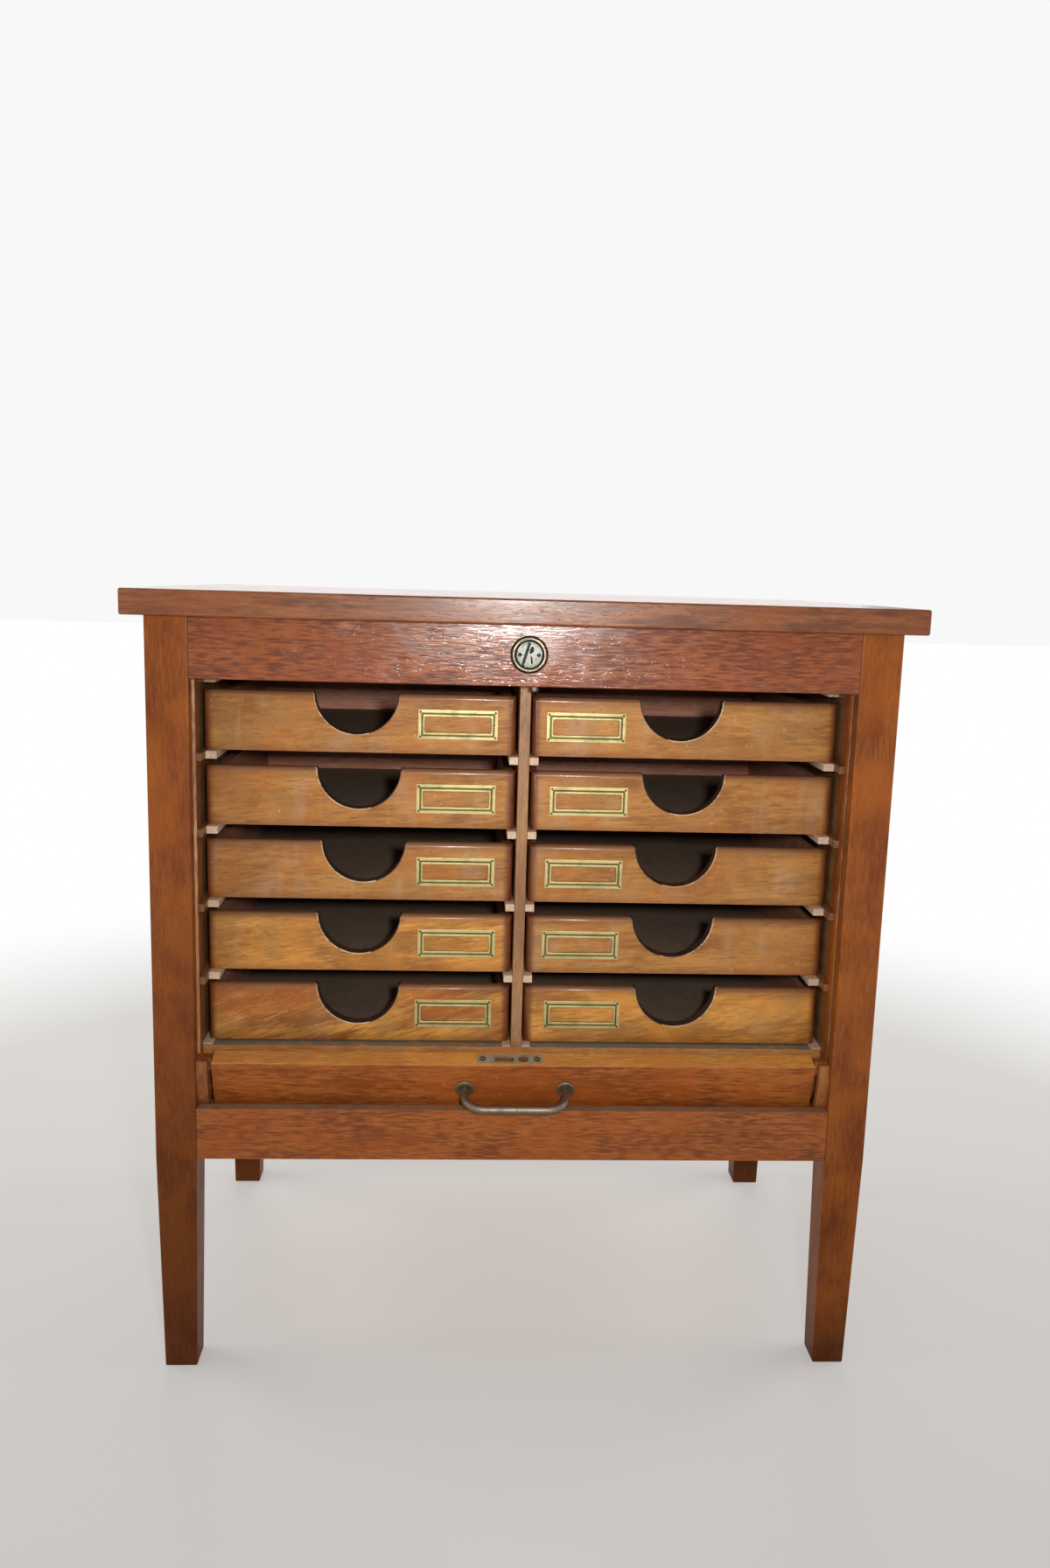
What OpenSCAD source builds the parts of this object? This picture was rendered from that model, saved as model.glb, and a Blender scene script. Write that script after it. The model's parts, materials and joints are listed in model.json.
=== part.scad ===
// Paper-tray cabinet with a roll shutter: ten trays in two columns, on four square legs.
// X runs across the front, Y from front to back and Z up. The origin is on the floor, at the
// middle of the cabinet's bounding box. Lengths are in millimetres.
//
// Each module is drawn in bench coordinates, where Y = 0 is the front plane of the legs, and
// placed() moves it to the origin described above.

/* [Carcass] */
// Width over the legs
legs_w = 651; // [560:1:800]
// Depth over the legs
legs_d = 390; // [380:1:460]
// Height to the top of the top board
total_h = 720; // [700:1:780]
// Thickness of the top board
top_t = 22; // [16:1:30]
// How far the top board overhangs the legs at each side
top_over_side = 16.5; // [5:0.5:40]
// How far the top board overhangs the legs at the front
top_over_front = 16; // [5:1:17]
// How far the top board overhangs the legs at the back
top_over_back = 10; // [0:1:30]
// Side of a leg's square section
leg_w = 36.5; // [34:0.5:44]
// How much each face of a leg tapers in at the foot
foot_taper = 3.6; // [0:0.1:8]
// Height of the underside of the low rails
low_rail_z = 209; // [190:1:212]
// Height of a low rail
low_rail_h = 48.5; // [40:0.5:52]
// Height of the top rails
top_rail_h = 53; // [45:1:60]
// Thickness of the bottom front rail
low_rail_t = 12; // [8:1:12]
// Thickness of the top front rail
top_rail_t = 28; // [26:1:34]
// Thickness of the centre divider
divider_t = 10; // [9:0.5:18]

/* [Trays] */
// Height of the lowest tray's underside
tray_first_z = 304.5; // [303:0.5:312]
// Distance from one tray to the next
tray_pitch = 68.25; // [66:0.25:68.5]
// Width of a tray front
tray_w = 279.5; // [260:0.5:281]
// Height of a tray front
tray_front_h = 54; // [48:1:56]
// Thickness of a tray front
tray_front_t = 13; // [10:1:16]
// How far the tray fronts sit behind the front plane of the legs
tray_recess = 50; // [44:1:60]
// Depth of a tray over all
tray_d = 302; // [260:1:302]
// Radius of the finger cut-out
notch_r = 37.5; // [25:0.5:40]

/* [Shutter] */
// Height of the lead bar
bar_h = 50; // [40:1:54]
// Thickness of the lead bar
bar_t = 19; // [17:1:19]
// Tilt of the parked lead bar, in degrees
bar_tilt = 17.5; // [10:0.5:20]
// Number of slats in the curtain
slat_count = 17; // [12:1:17]
// Distance from one slat to the next
slat_pitch = 20; // [14:1:20]

/* [Hidden] */
COLUMNS = ["left", "right"];
ROWS = [1, 2, 3, 4, 5];
TRAY_PIECES = ["tray_front", "tray_box", "label_frame"];

// Colours
mahogany = [0.36, 0.17, 0.11];
red_brown = [0.40, 0.20, 0.13];
tray_brown = [0.55, 0.32, 0.18];
box_brown = [0.38, 0.23, 0.15];
pine = [0.72, 0.60, 0.45];
brass = [0.78, 0.62, 0.30];
bronze = [0.35, 0.24, 0.16];
nickel = [0.70, 0.69, 0.66];
linen = [0.75, 0.70, 0.60];

// Derived from the carcass
leg_in_x = legs_w / 2 - leg_w;           // inner face of a leg
board_x = leg_in_x + 2;                  // inner face of a side board, a little behind the leg's
board_t = 9;                             // thickness of a side board
top_z = total_h - top_t;                 // underside of the top board
top_rail_z = top_z - top_rail_h;         // underside of the top rails
low_rail_top = low_rail_z + low_rail_h;
side_y0 = leg_w;                         // the sides run between the front and back legs
side_y1 = legs_d - leg_w;
side_rail_t = 20;
side_panel_t = 8;
side_rail_x = board_x + board_t;         // inner face of a side rail
side_panel_x = side_rail_x + (side_rail_t - side_panel_t) / 2;
back_rail_t = 18;
back_panel_t = 6;
panel_in = 6;                            // how deep a panel sits in its groove
panel_gap = 0.5;                         // room left in a groove for the wood to move
back_panel_z = low_rail_z + low_rail_h - 16;  // foot of the back panel's groove
tenon_l = 18;
tenon_t = 8;
tenon_shoulder = 6;
edge_r = 2;                              // rounding of the top board's edges
floor_t = 12;
dust_board_t = 5;
floor_top = tray_first_z - 2;
floor_y0 = 40;                           // front edge of the floor board and of the divider
back_panel_y = legs_d - back_rail_t - back_panel_t;

// Derived from the trays
tray_y1 = tray_recess + tray_d;
leg_room = 2.25;                         // between a tray and the legs that it passes
column_x = leg_in_x - leg_room - tray_w / 2;
tray_play = [[-0.3, 0.5, 0, 0.8, 0.5], [0, 0.3, 0.2, 0, -0.5]];   // where each tray lies in its play
notch_off = [[-4, -2.4, 2.6, -1.9, -2.4], [-4.1, 0.6, -3.2, -2.6, 3.9]];  // hand-cut, off the middle
label_off = 88.5;                        // from a tray's middle to its label's middle
label_slip = [[-1.1, -2.6, -1.4, 0, -1.7], [-2.2, 2.2, 0, -0.7, 3.7]];  // nailed on by hand, off that place
tray_wall = 9;
tray_back_t = 8;
glue_line = 0.1;                         // between the boards of a tray box
tray_box_h = 47;
tray_bottom_t = 4;
tray_bottom_up = 3;
tray_round = 4.5;
runner_h = 7;
ledger_w = 7;
ledger_y0 = 24.5;
runner_w = 10;
divider_runner_w = 8.3;

// Derived from the shutter: a vertical track, a bend and a flat run under the floor board
track_y = 18;                            // middle of the vertical track
bend_r = 61;                             // radius of the track's middle line
bend_z = 289;                            // height of the bend's centre
channel_w = 12;
channel_in = 5;                          // depth of the groove in the leg
track_t = 9.5;                           // thickness of a track board
track_wall = 7;                          // its least width outside the bend
track_nose = 300.5;                      // height of the part that covers a shoe's front
track_end_y = back_panel_y + 3;          // end of the channel in the back legs
bend_y = track_y + bend_r;
run_z = bend_z - bend_r;                 // height of the flat run
bar_top = 5.5;                           // top of the bar above its pivot
bar_front = 10;                          // from the pivot to the bar's face
bar_back = bar_t - bar_front;
pivot_z = 295.4;
pivot_r = 2.5;
running = 0.05;                          // radial clearance of a running fit
bar_half = leg_in_x - track_t - 2.5;     // half the bar's length
shoe_t = channel_w - 1;
shoe_end = leg_in_x + channel_in - 1;
shoe_low = 6;
pin_l = 12;
slat_t = 7;
slat_gap = 0.8;
slat_crown_r = 22.5;                     // radius of a slat's round face
canvas_t = 0.8;
bar_foot_angle = 38.5;                   // where the bar's foot lies on the bend, in degrees
canvas_gap = 0.1;

// Derived from the handle
handle_span = 93;
handle_x = -1;
handle_r = 4.1;
handle_bend = 18;
handle_out = 29;                         // from the bar's face to the middle of the cross rod
handle_down = -20.7;                     // below the pivot, on the bar
rose_r = 8.6;
rose_t = 2.4;
handle_peg = 8;

// Derived from the lock and its strike
lock_z = top_rail_z + 27.5;
ring_r = 16.5;
plug_r = 11.4;
ring_hole = plug_r + running;
barrel_r = 8.6;
rivet_x = 8;
rivet_r = 1.6;
rivet_proud = 2.1;
plug_proud = 1.6;
key_slot_x = -2.9;
key_slot_w = 2.1;
key_slot_l = 13;
key_slot_turn = 16;                      // slant of the slot, in degrees
key_hole_x = 3.4;
key_hole_r = 1.7;
case_fit = 0.2;                          // room round the case in its mortise
case_y0 = 12;
case_y1 = 24;
case_h = 45;
case_w = 46;
face_plate_t = 2;
face_plate_w = 72;
face_plate_d = 14;
strike_x = -6.4;
strike_w = 60;
strike_d = 13;
strike_t = 2;
slot_x = -11.6;
slot_w = 17.6;
slot_d = 7;
locator_x = 6;
locator_r = 4;
locator_hole = 4.8;
locator_l = 6;
bolt_w = 15;
bolt_d = 5.6;
bolt_l = 26;
mortise_deep = 13;
screw_r = 1.5;
screw_head_r = 3.5;
screw_in = 5;                            // from the plate's end to the screw
screw_l = 9;

// Derived from the label frames
label_w = 72;
label_h = 27;
window_w = 60;
window_h = 14.2;
flange_t = 0.8;
rim_w = 2;
rim_t = 1.8;
label_pin_r = 1.1;
label_pin_in = 2.1;                      // from the flange's edges to a pin
label_pin_h = 0.6;

// Place of the origin: halfway between the handle's foremost point and the top board's back edge
handle_front = track_y - (bar_front + handle_out) * cos(bar_tilt) - handle_down * sin(bar_tilt) - handle_r;
origin_y = (handle_front + legs_d + top_over_back) / 2;

module placed() translate([0, -origin_y, 0]) children();

// A box given by its lowest and highest corners
module box(low, high) translate(low) cube(high - low);

// Both sides of something drawn on the right
module both_sides() {
    children();
    mirror([1, 0, 0]) children();
}

// A profile drawn in Y and Z, drawn out along X from x0 to x1
module along_x(x0, x1)
    translate([x0, 0, 0]) rotate([90, 0, 90]) linear_extrude(x1 - x0) children();

// A round bar along Y from y0 to y1
module round_y(x, z, r, y0, y1)
    translate([x, y0, z]) rotate([-90, 0, 0]) cylinder(r = r, h = y1 - y0, $fn = 64);

// ---- the shutter's track ----

// The track's channel in Y and Z: upright, round the bend, then flat to the back
module track_profile(top, width, back) {
    translate([track_y - width / 2, bend_z]) square([width, top - bend_z]);
    intersection() {
        translate([bend_y, bend_z]) difference() {
            circle(r = bend_r + width / 2, $fn = 120);
            circle(r = bend_r - width / 2, $fn = 120);
        }
        translate([bend_y - 2 * bend_r, bend_z - 2 * bend_r]) square(2 * bend_r);
    }
    translate([bend_y, run_z - width / 2]) square([back - bend_y, width]);
}

module track_channel(x0, x1) along_x(x0, x1) track_profile(top_rail_z, channel_w, track_end_y);

// ---- carcass ----

// A board's section with its four corners rounded
module rounded_section(w, h, r) translate([r, r]) {
    translate([0, -r]) square([w - 2 * r, h]);
    translate([-r, 0]) square([w, h - 2 * r]);
    for (x = [0, w - 2 * r], y = [0, h - 2 * r]) translate([x, y]) circle(r = r, $fn = 32);
}

module top_board() color(red_brown) placed() {
    x = legs_w / 2 + top_over_side;
    y0 = -top_over_front;
    d = legs_d + top_over_back + top_over_front;
    intersection() {
        translate([0, y0, top_z]) along_x(-x, x) rounded_section(d, top_t, edge_r);
        translate([-x, y0 + d, top_z]) rotate([90, 0, 0]) linear_extrude(d)
            rounded_section(2 * x, top_t, edge_r);
    }
}

// Sockets for the rails' tenons, cut in a leg that is drawn on the right
module leg_sockets(front) {
    x0 = leg_in_x;
    y0 = front ? 0 : legs_d - leg_w;
    thick = front ? [low_rail_t, top_rail_t] : [back_rail_t, back_rail_t];
    heights = [[low_rail_z, low_rail_top], [top_rail_z, top_z]];
    for (i = [0, 1]) {
        t = min(tenon_t, thick[i] - 6);
        y = front ? thick[i] / 2 : legs_d - thick[i] / 2;
        box([x0 - 1, y - t / 2, heights[i][0] + tenon_shoulder],
            [x0 + tenon_l, y + t / 2, heights[i][1] - tenon_shoulder]);
        side = front ? y0 + leg_w - tenon_l / 2 : y0 - 1;
        x = side_rail_x + side_rail_t / 2;
        box([x - tenon_t / 2, side, heights[i][0] + tenon_shoulder],
            [x + tenon_t / 2, side + tenon_l / 2 + 1, heights[i][1] - tenon_shoulder]);
    }
}

// A leg's outline from one side: straight above the low rail, tapered on both sides below it
module leg_outline() polygon([
    [foot_taper, 0], [leg_w - foot_taper, 0], [leg_w, low_rail_z],
    [leg_w, top_z], [0, top_z], [0, low_rail_z]
]);

// A leg on the right
module leg(front) {
    x0 = leg_in_x;
    y0 = front ? 0 : legs_d - leg_w;
    difference() {
        intersection() {
            translate([0, y0, 0]) along_x(x0, x0 + leg_w) leg_outline();
            translate([x0, y0 + leg_w, 0]) rotate([90, 0, 0]) linear_extrude(leg_w) leg_outline();
        }
        leg_sockets(front);
        track_channel(x0 - 1, x0 + channel_in);
        // grooves for the side panel and the back panel
        side = front ? y0 + leg_w - panel_in : y0 - 1;
        box([side_panel_x - panel_gap / 2, side, low_rail_top - panel_in],
            [side_panel_x + side_panel_t + panel_gap / 2, side + panel_in + 1, top_rail_z + panel_in]);
        if (!front)
            box([x0 - 1, back_panel_y, back_panel_z],
                [x0 + panel_in + 1, back_panel_y + back_panel_t, top_z]);
    }
}

module front_leg_left() color(mahogany) placed() mirror([1, 0, 0]) leg(true);
module front_leg_right() color(mahogany) placed() leg(true);
module back_leg_left() color(mahogany) placed() mirror([1, 0, 0]) leg(false);
module back_leg_right() color(mahogany) placed() leg(false);

// A rail across the cabinet with a tenon at each end
module cross_rail(y0, y1, z0, z1) {
    t = min(tenon_t, y1 - y0 - 6);
    y = (y0 + y1) / 2;
    box([-leg_in_x, y0, z0], [leg_in_x, y1, z1]);
    box([-leg_in_x - tenon_l, y - t / 2, z0 + tenon_shoulder],
        [leg_in_x + tenon_l, y + t / 2, z1 - tenon_shoulder]);
}

module top_front_rail() color(mahogany) placed() difference() {
    cross_rail(0, top_rail_t, top_rail_z, top_z);
    round_y(0, lock_z, ring_hole + 1, -1, 3);
    round_y(0, lock_z, barrel_r + 0.5, -1, case_y0 + 1);
    box([-case_w / 2, case_y0, top_rail_z - 1], [case_w / 2, case_y1, top_rail_z + case_h]);
    box([-face_plate_w / 2, track_y - face_plate_d / 2, top_rail_z - 1],
        [face_plate_w / 2, track_y + face_plate_d / 2, top_rail_z + face_plate_t]);
}

module bottom_front_rail() color(mahogany) placed() cross_rail(0, low_rail_t, low_rail_z, low_rail_top);

module back_rails() color(red_brown) placed() {
    cross_rail(legs_d - back_rail_t, legs_d, low_rail_z, low_rail_top);
    cross_rail(legs_d - back_rail_t, legs_d, top_rail_z, top_z);
}

module side_rails() color(mahogany) placed() both_sides() {
    x0 = side_rail_x;
    x = x0 + side_rail_t / 2;
    for (z = [[low_rail_z, low_rail_top], [top_rail_z, top_z]]) difference() {
        union() {
            box([x0, side_y0, z[0]], [x0 + side_rail_t, side_y1, z[1]]);
            box([x - tenon_t / 2, side_y0 - tenon_l / 2, z[0] + tenon_shoulder],
                [x + tenon_t / 2, side_y1 + tenon_l / 2, z[1] - tenon_shoulder]);
        }
        box([side_panel_x - panel_gap / 2, side_y0 - panel_in, low_rail_top - panel_in],
            [side_panel_x + side_panel_t + panel_gap / 2, side_y1 + panel_in, top_rail_z + panel_in]);
    }
}

module side_panels() color(red_brown) placed() both_sides()
    box([side_panel_x, side_y0 - panel_in, low_rail_top - panel_in],
        [side_panel_x + side_panel_t, side_y1 + panel_in, top_rail_z + panel_in]);

module side_boards() color(pine) placed() both_sides() difference() {
    box([board_x, side_y0, low_rail_z], [board_x + board_t, side_y1, top_z]);
    track_channel(board_x - 1, leg_in_x + channel_in);
}

module back_panel() color(box_brown) placed()
    box([-leg_in_x - panel_in, back_panel_y, back_panel_z + panel_gap],
        [leg_in_x + panel_in, back_panel_y + back_panel_t, top_z]);

// The board under the lowest trays, and the thin dust board that closes the shutter's run below
module floor_boards() color(pine) placed() {
    box([-board_x, floor_y0, floor_top - floor_t], [board_x, tray_y1, floor_top]);
    box([-leg_in_x, low_rail_t, low_rail_z], [leg_in_x, leg_w, low_rail_z + dust_board_t]);
    box([-board_x, leg_w, low_rail_z], [board_x, legs_d - leg_w, low_rail_z + dust_board_t]);
    box([-leg_in_x, legs_d - leg_w, low_rail_z], [leg_in_x, legs_d - back_rail_t, low_rail_z + dust_board_t]);
}

module centre_divider() color(red_brown) placed()
    box([-divider_t / 2, floor_y0, floor_top], [divider_t / 2, tray_y1, top_z]);

// ---- what the trays run on ----

function tray_z(row) = tray_first_z + (len(ROWS) - row) * tray_pitch;

// Row 0 is a strip above the top trays, which stops them from tipping as they are pulled out
module ledgers() color(red_brown) placed() both_sides() difference() {
    for (row = [0 : len(ROWS) - 1])
        box([board_x - ledger_w, row == 0 ? floor_y0 : ledger_y0, tray_z(row) - runner_h],
            [board_x, tray_y1, tray_z(row)]);
    box([leg_in_x, 0, 0], [board_x + 1, side_y0, top_z]);
}

// The lowest row's strips are thin and lie on the floor board
module runners() color(pine) placed() both_sides()
    for (row = ROWS) {
        low = row == len(ROWS) ? floor_top : tray_z(row) - runner_h;
        outer = row == len(ROWS) ? board_x : board_x - ledger_w;
        box([outer - runner_w, floor_y0, low], [outer, tray_y1, tray_z(row)]);
        box([divider_t / 2, floor_y0, low], [divider_t / 2 + divider_runner_w, tray_y1, tray_z(row)]);
        if (row == 1)
            box([outer - runner_w, floor_y0, tray_z(0) - runner_h], [outer, tray_y1, tray_z(0)]);
    }

module tray_stops() color(pine) placed() both_sides()
    box([column_x - 10, tray_y1, floor_top], [column_x + 10, back_panel_y, top_rail_z]);

// Inside the channel and outside it, two boards on each leg
module track_boards() color(red_brown) placed() both_sides()
    along_x(leg_in_x - track_t, leg_in_x) track_board_profile();

module track_board_profile() {
    outer_r = bend_r + channel_w / 2;
    inner_r = bend_r - channel_w / 2;
    front_r = outer_r + track_wall;
    board_top = floor_top - floor_t;
    low = low_rail_z + dust_board_t;
    difference() {
        union() {
            intersection() {
                translate([bend_y, bend_z]) circle(r = front_r, $fn = 120);
                translate([0, low]) square([bend_y, bend_z - low]);
            }
            translate([bend_y - front_r, bend_z - 1]) square([track_wall, track_nose - bend_z + 1]);
            translate([bend_y, low]) square([back_panel_y - bend_y, run_z - channel_w / 2 - low]);
        }
        translate([bend_y, bend_z]) circle(r = outer_r, $fn = 120);
        square([low_rail_t, low_rail_top]);
    }
    intersection() {
        union() {
            translate([bend_y, bend_z]) circle(r = inner_r, $fn = 120);
            translate([bend_y, bend_z - inner_r]) square([back_panel_y - bend_y, inner_r + floor_t]);
            translate([bend_y - inner_r, bend_z]) square([2 * inner_r, floor_t]);
        }
        translate([0, low_rail_z]) square([back_panel_y, board_top - low_rail_z]);
    }
}

// ---- trays ----

function side_sign(column) = column == 0 ? -1 : 1;
function tray_x(column, row) = side_sign(column) * column_x + tray_play[column][row - 1];
function notch_x(column, row) = tray_x(column, row) + notch_off[column][row - 1];
function label_x(column, row) = tray_x(column, row) - side_sign(column) * label_off + label_slip[column][row - 1];

// A profile with its two upper or front corners rounded
module rounded_corners(w, h, r) {
    square([w, h - r]);
    translate([r, 0]) square([w - 2 * r, h]);
    for (x = [r, w - r]) translate([x, h - r]) circle(r = r, $fn = 48);
}

module tray_front(column, row) color(tray_brown) placed() difference() {
    x = tray_x(column, row) - tray_w / 2;
    z = tray_z(row);
    intersection() {
        // rounded along the top edge, seen from the end
        translate([0, tray_recess, z]) along_x(x, x + tray_w)
            rounded_corners(tray_front_t, tray_front_h, tray_round);
        // rounded at both ends of the face, seen from above
        translate([x, tray_recess + tray_front_t, z]) linear_extrude(tray_front_h)
            mirror([0, 1, 0]) rounded_corners(tray_w, tray_front_t, tray_round);
    }
    round_y(notch_x(column, row), z + tray_front_h, notch_r, tray_recess - 1, tray_recess + tray_front_t + 1);
}

// Two sides, a back between them and a thin bottom, as separate boards
module tray_box(column, row) color(box_brown) placed() translate([tray_x(column, row), 0, tray_z(row)]) {
    half = tray_w / 2;
    in_x = half - tray_wall - glue_line;
    y0 = tray_recess + tray_front_t;
    back_y = tray_y1 - tray_back_t;
    for (x = [-half, half - tray_wall]) box([x, y0, 0], [x + tray_wall, tray_y1, tray_box_h]);
    box([-in_x, back_y, 0], [in_x, tray_y1, tray_box_h]);
    box([-in_x, y0, tray_bottom_up], [in_x, back_y - glue_line, tray_bottom_up + tray_bottom_t]);
}

// A flat flange with a raised rim round the window, and four pin heads
module label_frame(column, row) color(brass) placed()
    translate([label_x(column, row), tray_recess, tray_z(row) + tray_front_h / 2]) rotate([90, 0, 0]) {
        difference() {
            union() {
                translate([-label_w / 2, -label_h / 2, 0]) cube([label_w, label_h, flange_t]);
                linear_extrude(rim_t) rounded_plate(window_w + 2 * rim_w, window_h + 2 * rim_w, 3);
            }
            translate([0, 0, -1]) linear_extrude(rim_t + 2) rounded_plate(window_w, window_h, 2);
        }
        for (x = [-1, 1], z = [-1, 1])
            translate([x * (label_w / 2 - label_pin_in), z * (label_h / 2 - label_pin_in), flange_t])
                cylinder(r = label_pin_r, h = label_pin_h, $fn = 24);
    }

module rounded_plate(w, h, r) {
    square([w - 2 * r, h], center = true);
    square([w, h - 2 * r], center = true);
    for (x = [-1, 1], y = [-1, 1]) translate([x * (w / 2 - r), y * (h / 2 - r)]) circle(r = r, $fn = 32);
}

// ---- lock ----

module lock_ring() color(bronze) placed() translate([0, 0, lock_z]) rotate([90, 0, 0])
    rotate_extrude($fn = 96) polygon([
        [ring_hole, -2.5], [ring_hole + 0.9, -2.5], [ring_hole + 0.9, 0], [ring_r, 0],
        [ring_r, 1.2], [ring_r - 1.6, 2.8], [ring_r - 2.6, 2.8], [ring_r - 2.9, 2.1],
        [ring_hole + 1.4, 2.1], [ring_hole, 1.4]
    ]);

module lock_case() color(nickel) placed() {
    y0 = case_y0 + case_fit;
    y1 = case_y1 - case_fit;
    x = case_w / 2 - case_fit;
    z1 = top_rail_z + case_h - 2 * case_fit;
    plate_z = top_rail_z + face_plate_t;
    difference() {
        union() {
            box([-x, y0, plate_z], [x, y1, z1]);
            box([-face_plate_w / 2, track_y - face_plate_d / 2, top_rail_z],
                [face_plate_w / 2, track_y + face_plate_d / 2, plate_z]);
        }
        // room for the bolt, its slot in the face plate, and the barrel's hole
        box([slot_x - bolt_w / 2 - 0.6, track_y - bolt_d / 2 - 0.6, top_rail_z - 1],
            [slot_x + bolt_w / 2 + 0.6, track_y + bolt_d / 2 + 0.6, z1 - 3]);
        box([slot_x, track_y - bolt_d / 2 - 0.6, lock_z - 9],
            [12, track_y + bolt_d / 2 + 0.6, lock_z + 9]);
        round_y(0, lock_z, barrel_r + 0.4, y0 - 1, track_y);
    }
    translate([locator_x, track_y, top_rail_z - locator_l]) {
        cylinder(r1 = locator_r - 1, r2 = locator_r, h = 1.2, $fn = 48);
        translate([0, 0, 1.2]) cylinder(r = locator_r, h = locator_l - 1.2, $fn = 48);
    }
}

// The disc that shows in the ring, its barrel and the cam that drives the bolt
module lock_plug() color(nickel) placed() difference() {
    union() {
        round_y(0, lock_z, plug_r, -plug_proud, 1.2);
        round_y(0, lock_z, barrel_r, 0, case_y0 + 1);
        round_y(0, lock_z, 3, case_y0, track_y + bolt_d / 2);
        for (x = [-1, 1]) round_y(x * rivet_x, lock_z, rivet_r, -rivet_proud, 0);
    }
    // keyway: a slanted slot and a round pilot hole
    translate([key_slot_x, 0, lock_z]) rotate([0, key_slot_turn, 0])
        box([-key_slot_w / 2, -3, -key_slot_l / 2], [key_slot_w / 2, 9, key_slot_l / 2]);
    round_y(key_hole_x, lock_z, key_hole_r, -3, 9);
}

module lock_bolt() color(nickel) placed()
    box([slot_x - bolt_w / 2, track_y - bolt_d / 2, top_rail_z + 0.3],
        [slot_x + bolt_w / 2, track_y + bolt_d / 2, top_rail_z + bolt_l]);

// ---- shutter ----

// Moves something drawn upright about the pivot to its parked place and tilt
module parked() placed() translate([0, track_y, pivot_z]) rotate([bar_tilt, 0, 0]) children();

// Blocks in the leg grooves, each with a pin for the bar's end
module guide_shoes() color(red_brown) placed() translate([0, track_y, pivot_z]) both_sides() {
    box([bar_half + 0.4, -shoe_t / 2, -shoe_low], [shoe_end, shoe_t / 2, bar_top]);
    translate([bar_half - pin_l, 0, 0]) rotate([0, 90, 0]) cylinder(r = pivot_r, h = pin_l + 1, $fn = 48);
}

module lead_bar() color(mahogany) parked() difference() {
    box([-bar_half, -bar_front, bar_top - bar_h], [bar_half, bar_back, bar_top]);
    // holes for the shoes' pins and the handle's pegs
    both_sides() translate([bar_half - pin_l - 1, 0, 0]) rotate([0, 90, 0])
        cylinder(r = pivot_r + running, h = pin_l + 2, $fn = 48);
    for (x = [-1, 1]) round_y(handle_x + x * handle_span / 2, handle_down, handle_r + running,
        -bar_front - 1, -bar_front + handle_peg);
    // bed for the strike plate, and holes below it for the bolt, the locating pin and the screws
    box([strike_x - strike_w / 2, -strike_d / 2, bar_top - strike_t],
        [strike_x + strike_w / 2, strike_d / 2, bar_top + 1]);
    box([slot_x - slot_w / 2, -slot_d / 2, bar_top - mortise_deep],
        [slot_x + slot_w / 2, slot_d / 2, bar_top + 1]);
    translate([locator_x, 0, bar_top - mortise_deep]) cylinder(r = locator_hole, h = mortise_deep + 1, $fn = 48);
    screw_places() translate([0, 0, -screw_l - 1]) cylinder(r = screw_r + running, h = screw_l + 1, $fn = 32);
}

module screw_places()
    for (x = [-1, 1]) translate([strike_x + x * (strike_w / 2 - screw_in), 0, bar_top]) children();

module strike_plate() color(brass) parked() difference() {
    box([strike_x - strike_w / 2, -strike_d / 2, bar_top - strike_t],
        [strike_x + strike_w / 2, strike_d / 2, bar_top]);
    box([slot_x - slot_w / 2, -slot_d / 2, bar_top - mortise_deep],
        [slot_x + slot_w / 2, slot_d / 2, bar_top + 1]);
    translate([locator_x, 0, bar_top - 5]) cylinder(r = locator_hole, h = 9, $fn = 48);
    screw_places() translate([0, 0, -strike_t - 0.01])
        cylinder(r1 = screw_r + running, r2 = screw_head_r + running, h = strike_t + 0.02, $fn = 32);
}

module strike_screws() color(brass) parked() screw_places() difference() {
    union() {
        translate([0, 0, -strike_t]) cylinder(r1 = screw_r, r2 = screw_head_r, h = strike_t, $fn = 32);
        translate([0, 0, -screw_l]) cylinder(r = screw_r, h = screw_l - 1, $fn = 32);
    }
    // the driver's slot
    box([-screw_head_r - 1, -0.4, -0.7], [screw_head_r + 1, 0.4, 1]);
}

// A quarter bend of the rod, from the straight leg to the cross rod
module handle_corner() rotate_extrude(angle = 90, $fn = 96) translate([handle_bend, 0]) circle(r = handle_r, $fn = 40);

module pull_handle() color(bronze) parked()
    translate([handle_x, -bar_front, handle_down]) {
        half = handle_span / 2;
        both_sides() {
            round_y(half, 0, handle_r, handle_bend - handle_out, handle_peg - 0.5);
            translate([half - handle_bend, handle_bend - handle_out, 0]) rotate([0, 0, -90]) handle_corner();
        }
        translate([handle_bend - half, -handle_out, 0]) rotate([0, 90, 0])
            cylinder(r = handle_r, h = 2 * (half - handle_bend), $fn = 64);
    }

// Dished washers round the rod where it enters the bar
module handle_roses() color(bronze) parked()
    for (x = [-1, 1]) translate([handle_x + x * handle_span / 2, -bar_front, handle_down]) rotate([90, 0, 0])
        rotate_extrude($fn = 64) polygon([
            [handle_r + running, 0], [rose_r, 0], [rose_r, 1.6], [rose_r - 0.7, rose_t],
            [rose_r - 1.9, rose_t], [rose_r - 2.8, 1.3], [handle_r + running, 1]
        ]);

// How far round the track the middle of slat i lies behind the bar's foot
function slat_s(i) = 1 + (i + 0.5) * slat_pitch;
canvas_r = bend_r - slat_t / 2;
bend_left = (90 - bar_foot_angle) * PI / 180 * canvas_r;

module slat_profile() {
    half = (slat_pitch - slat_gap) / 2;
    translate([-half, -slat_t / 2]) square([2 * half, slat_t / 2]);
    intersection() {
        translate([0, slat_t / 2 - slat_crown_r]) circle(r = slat_crown_r, $fn = 96);
        translate([-half, -slat_t / 2]) square([2 * half, slat_t]);
    }
}

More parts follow.
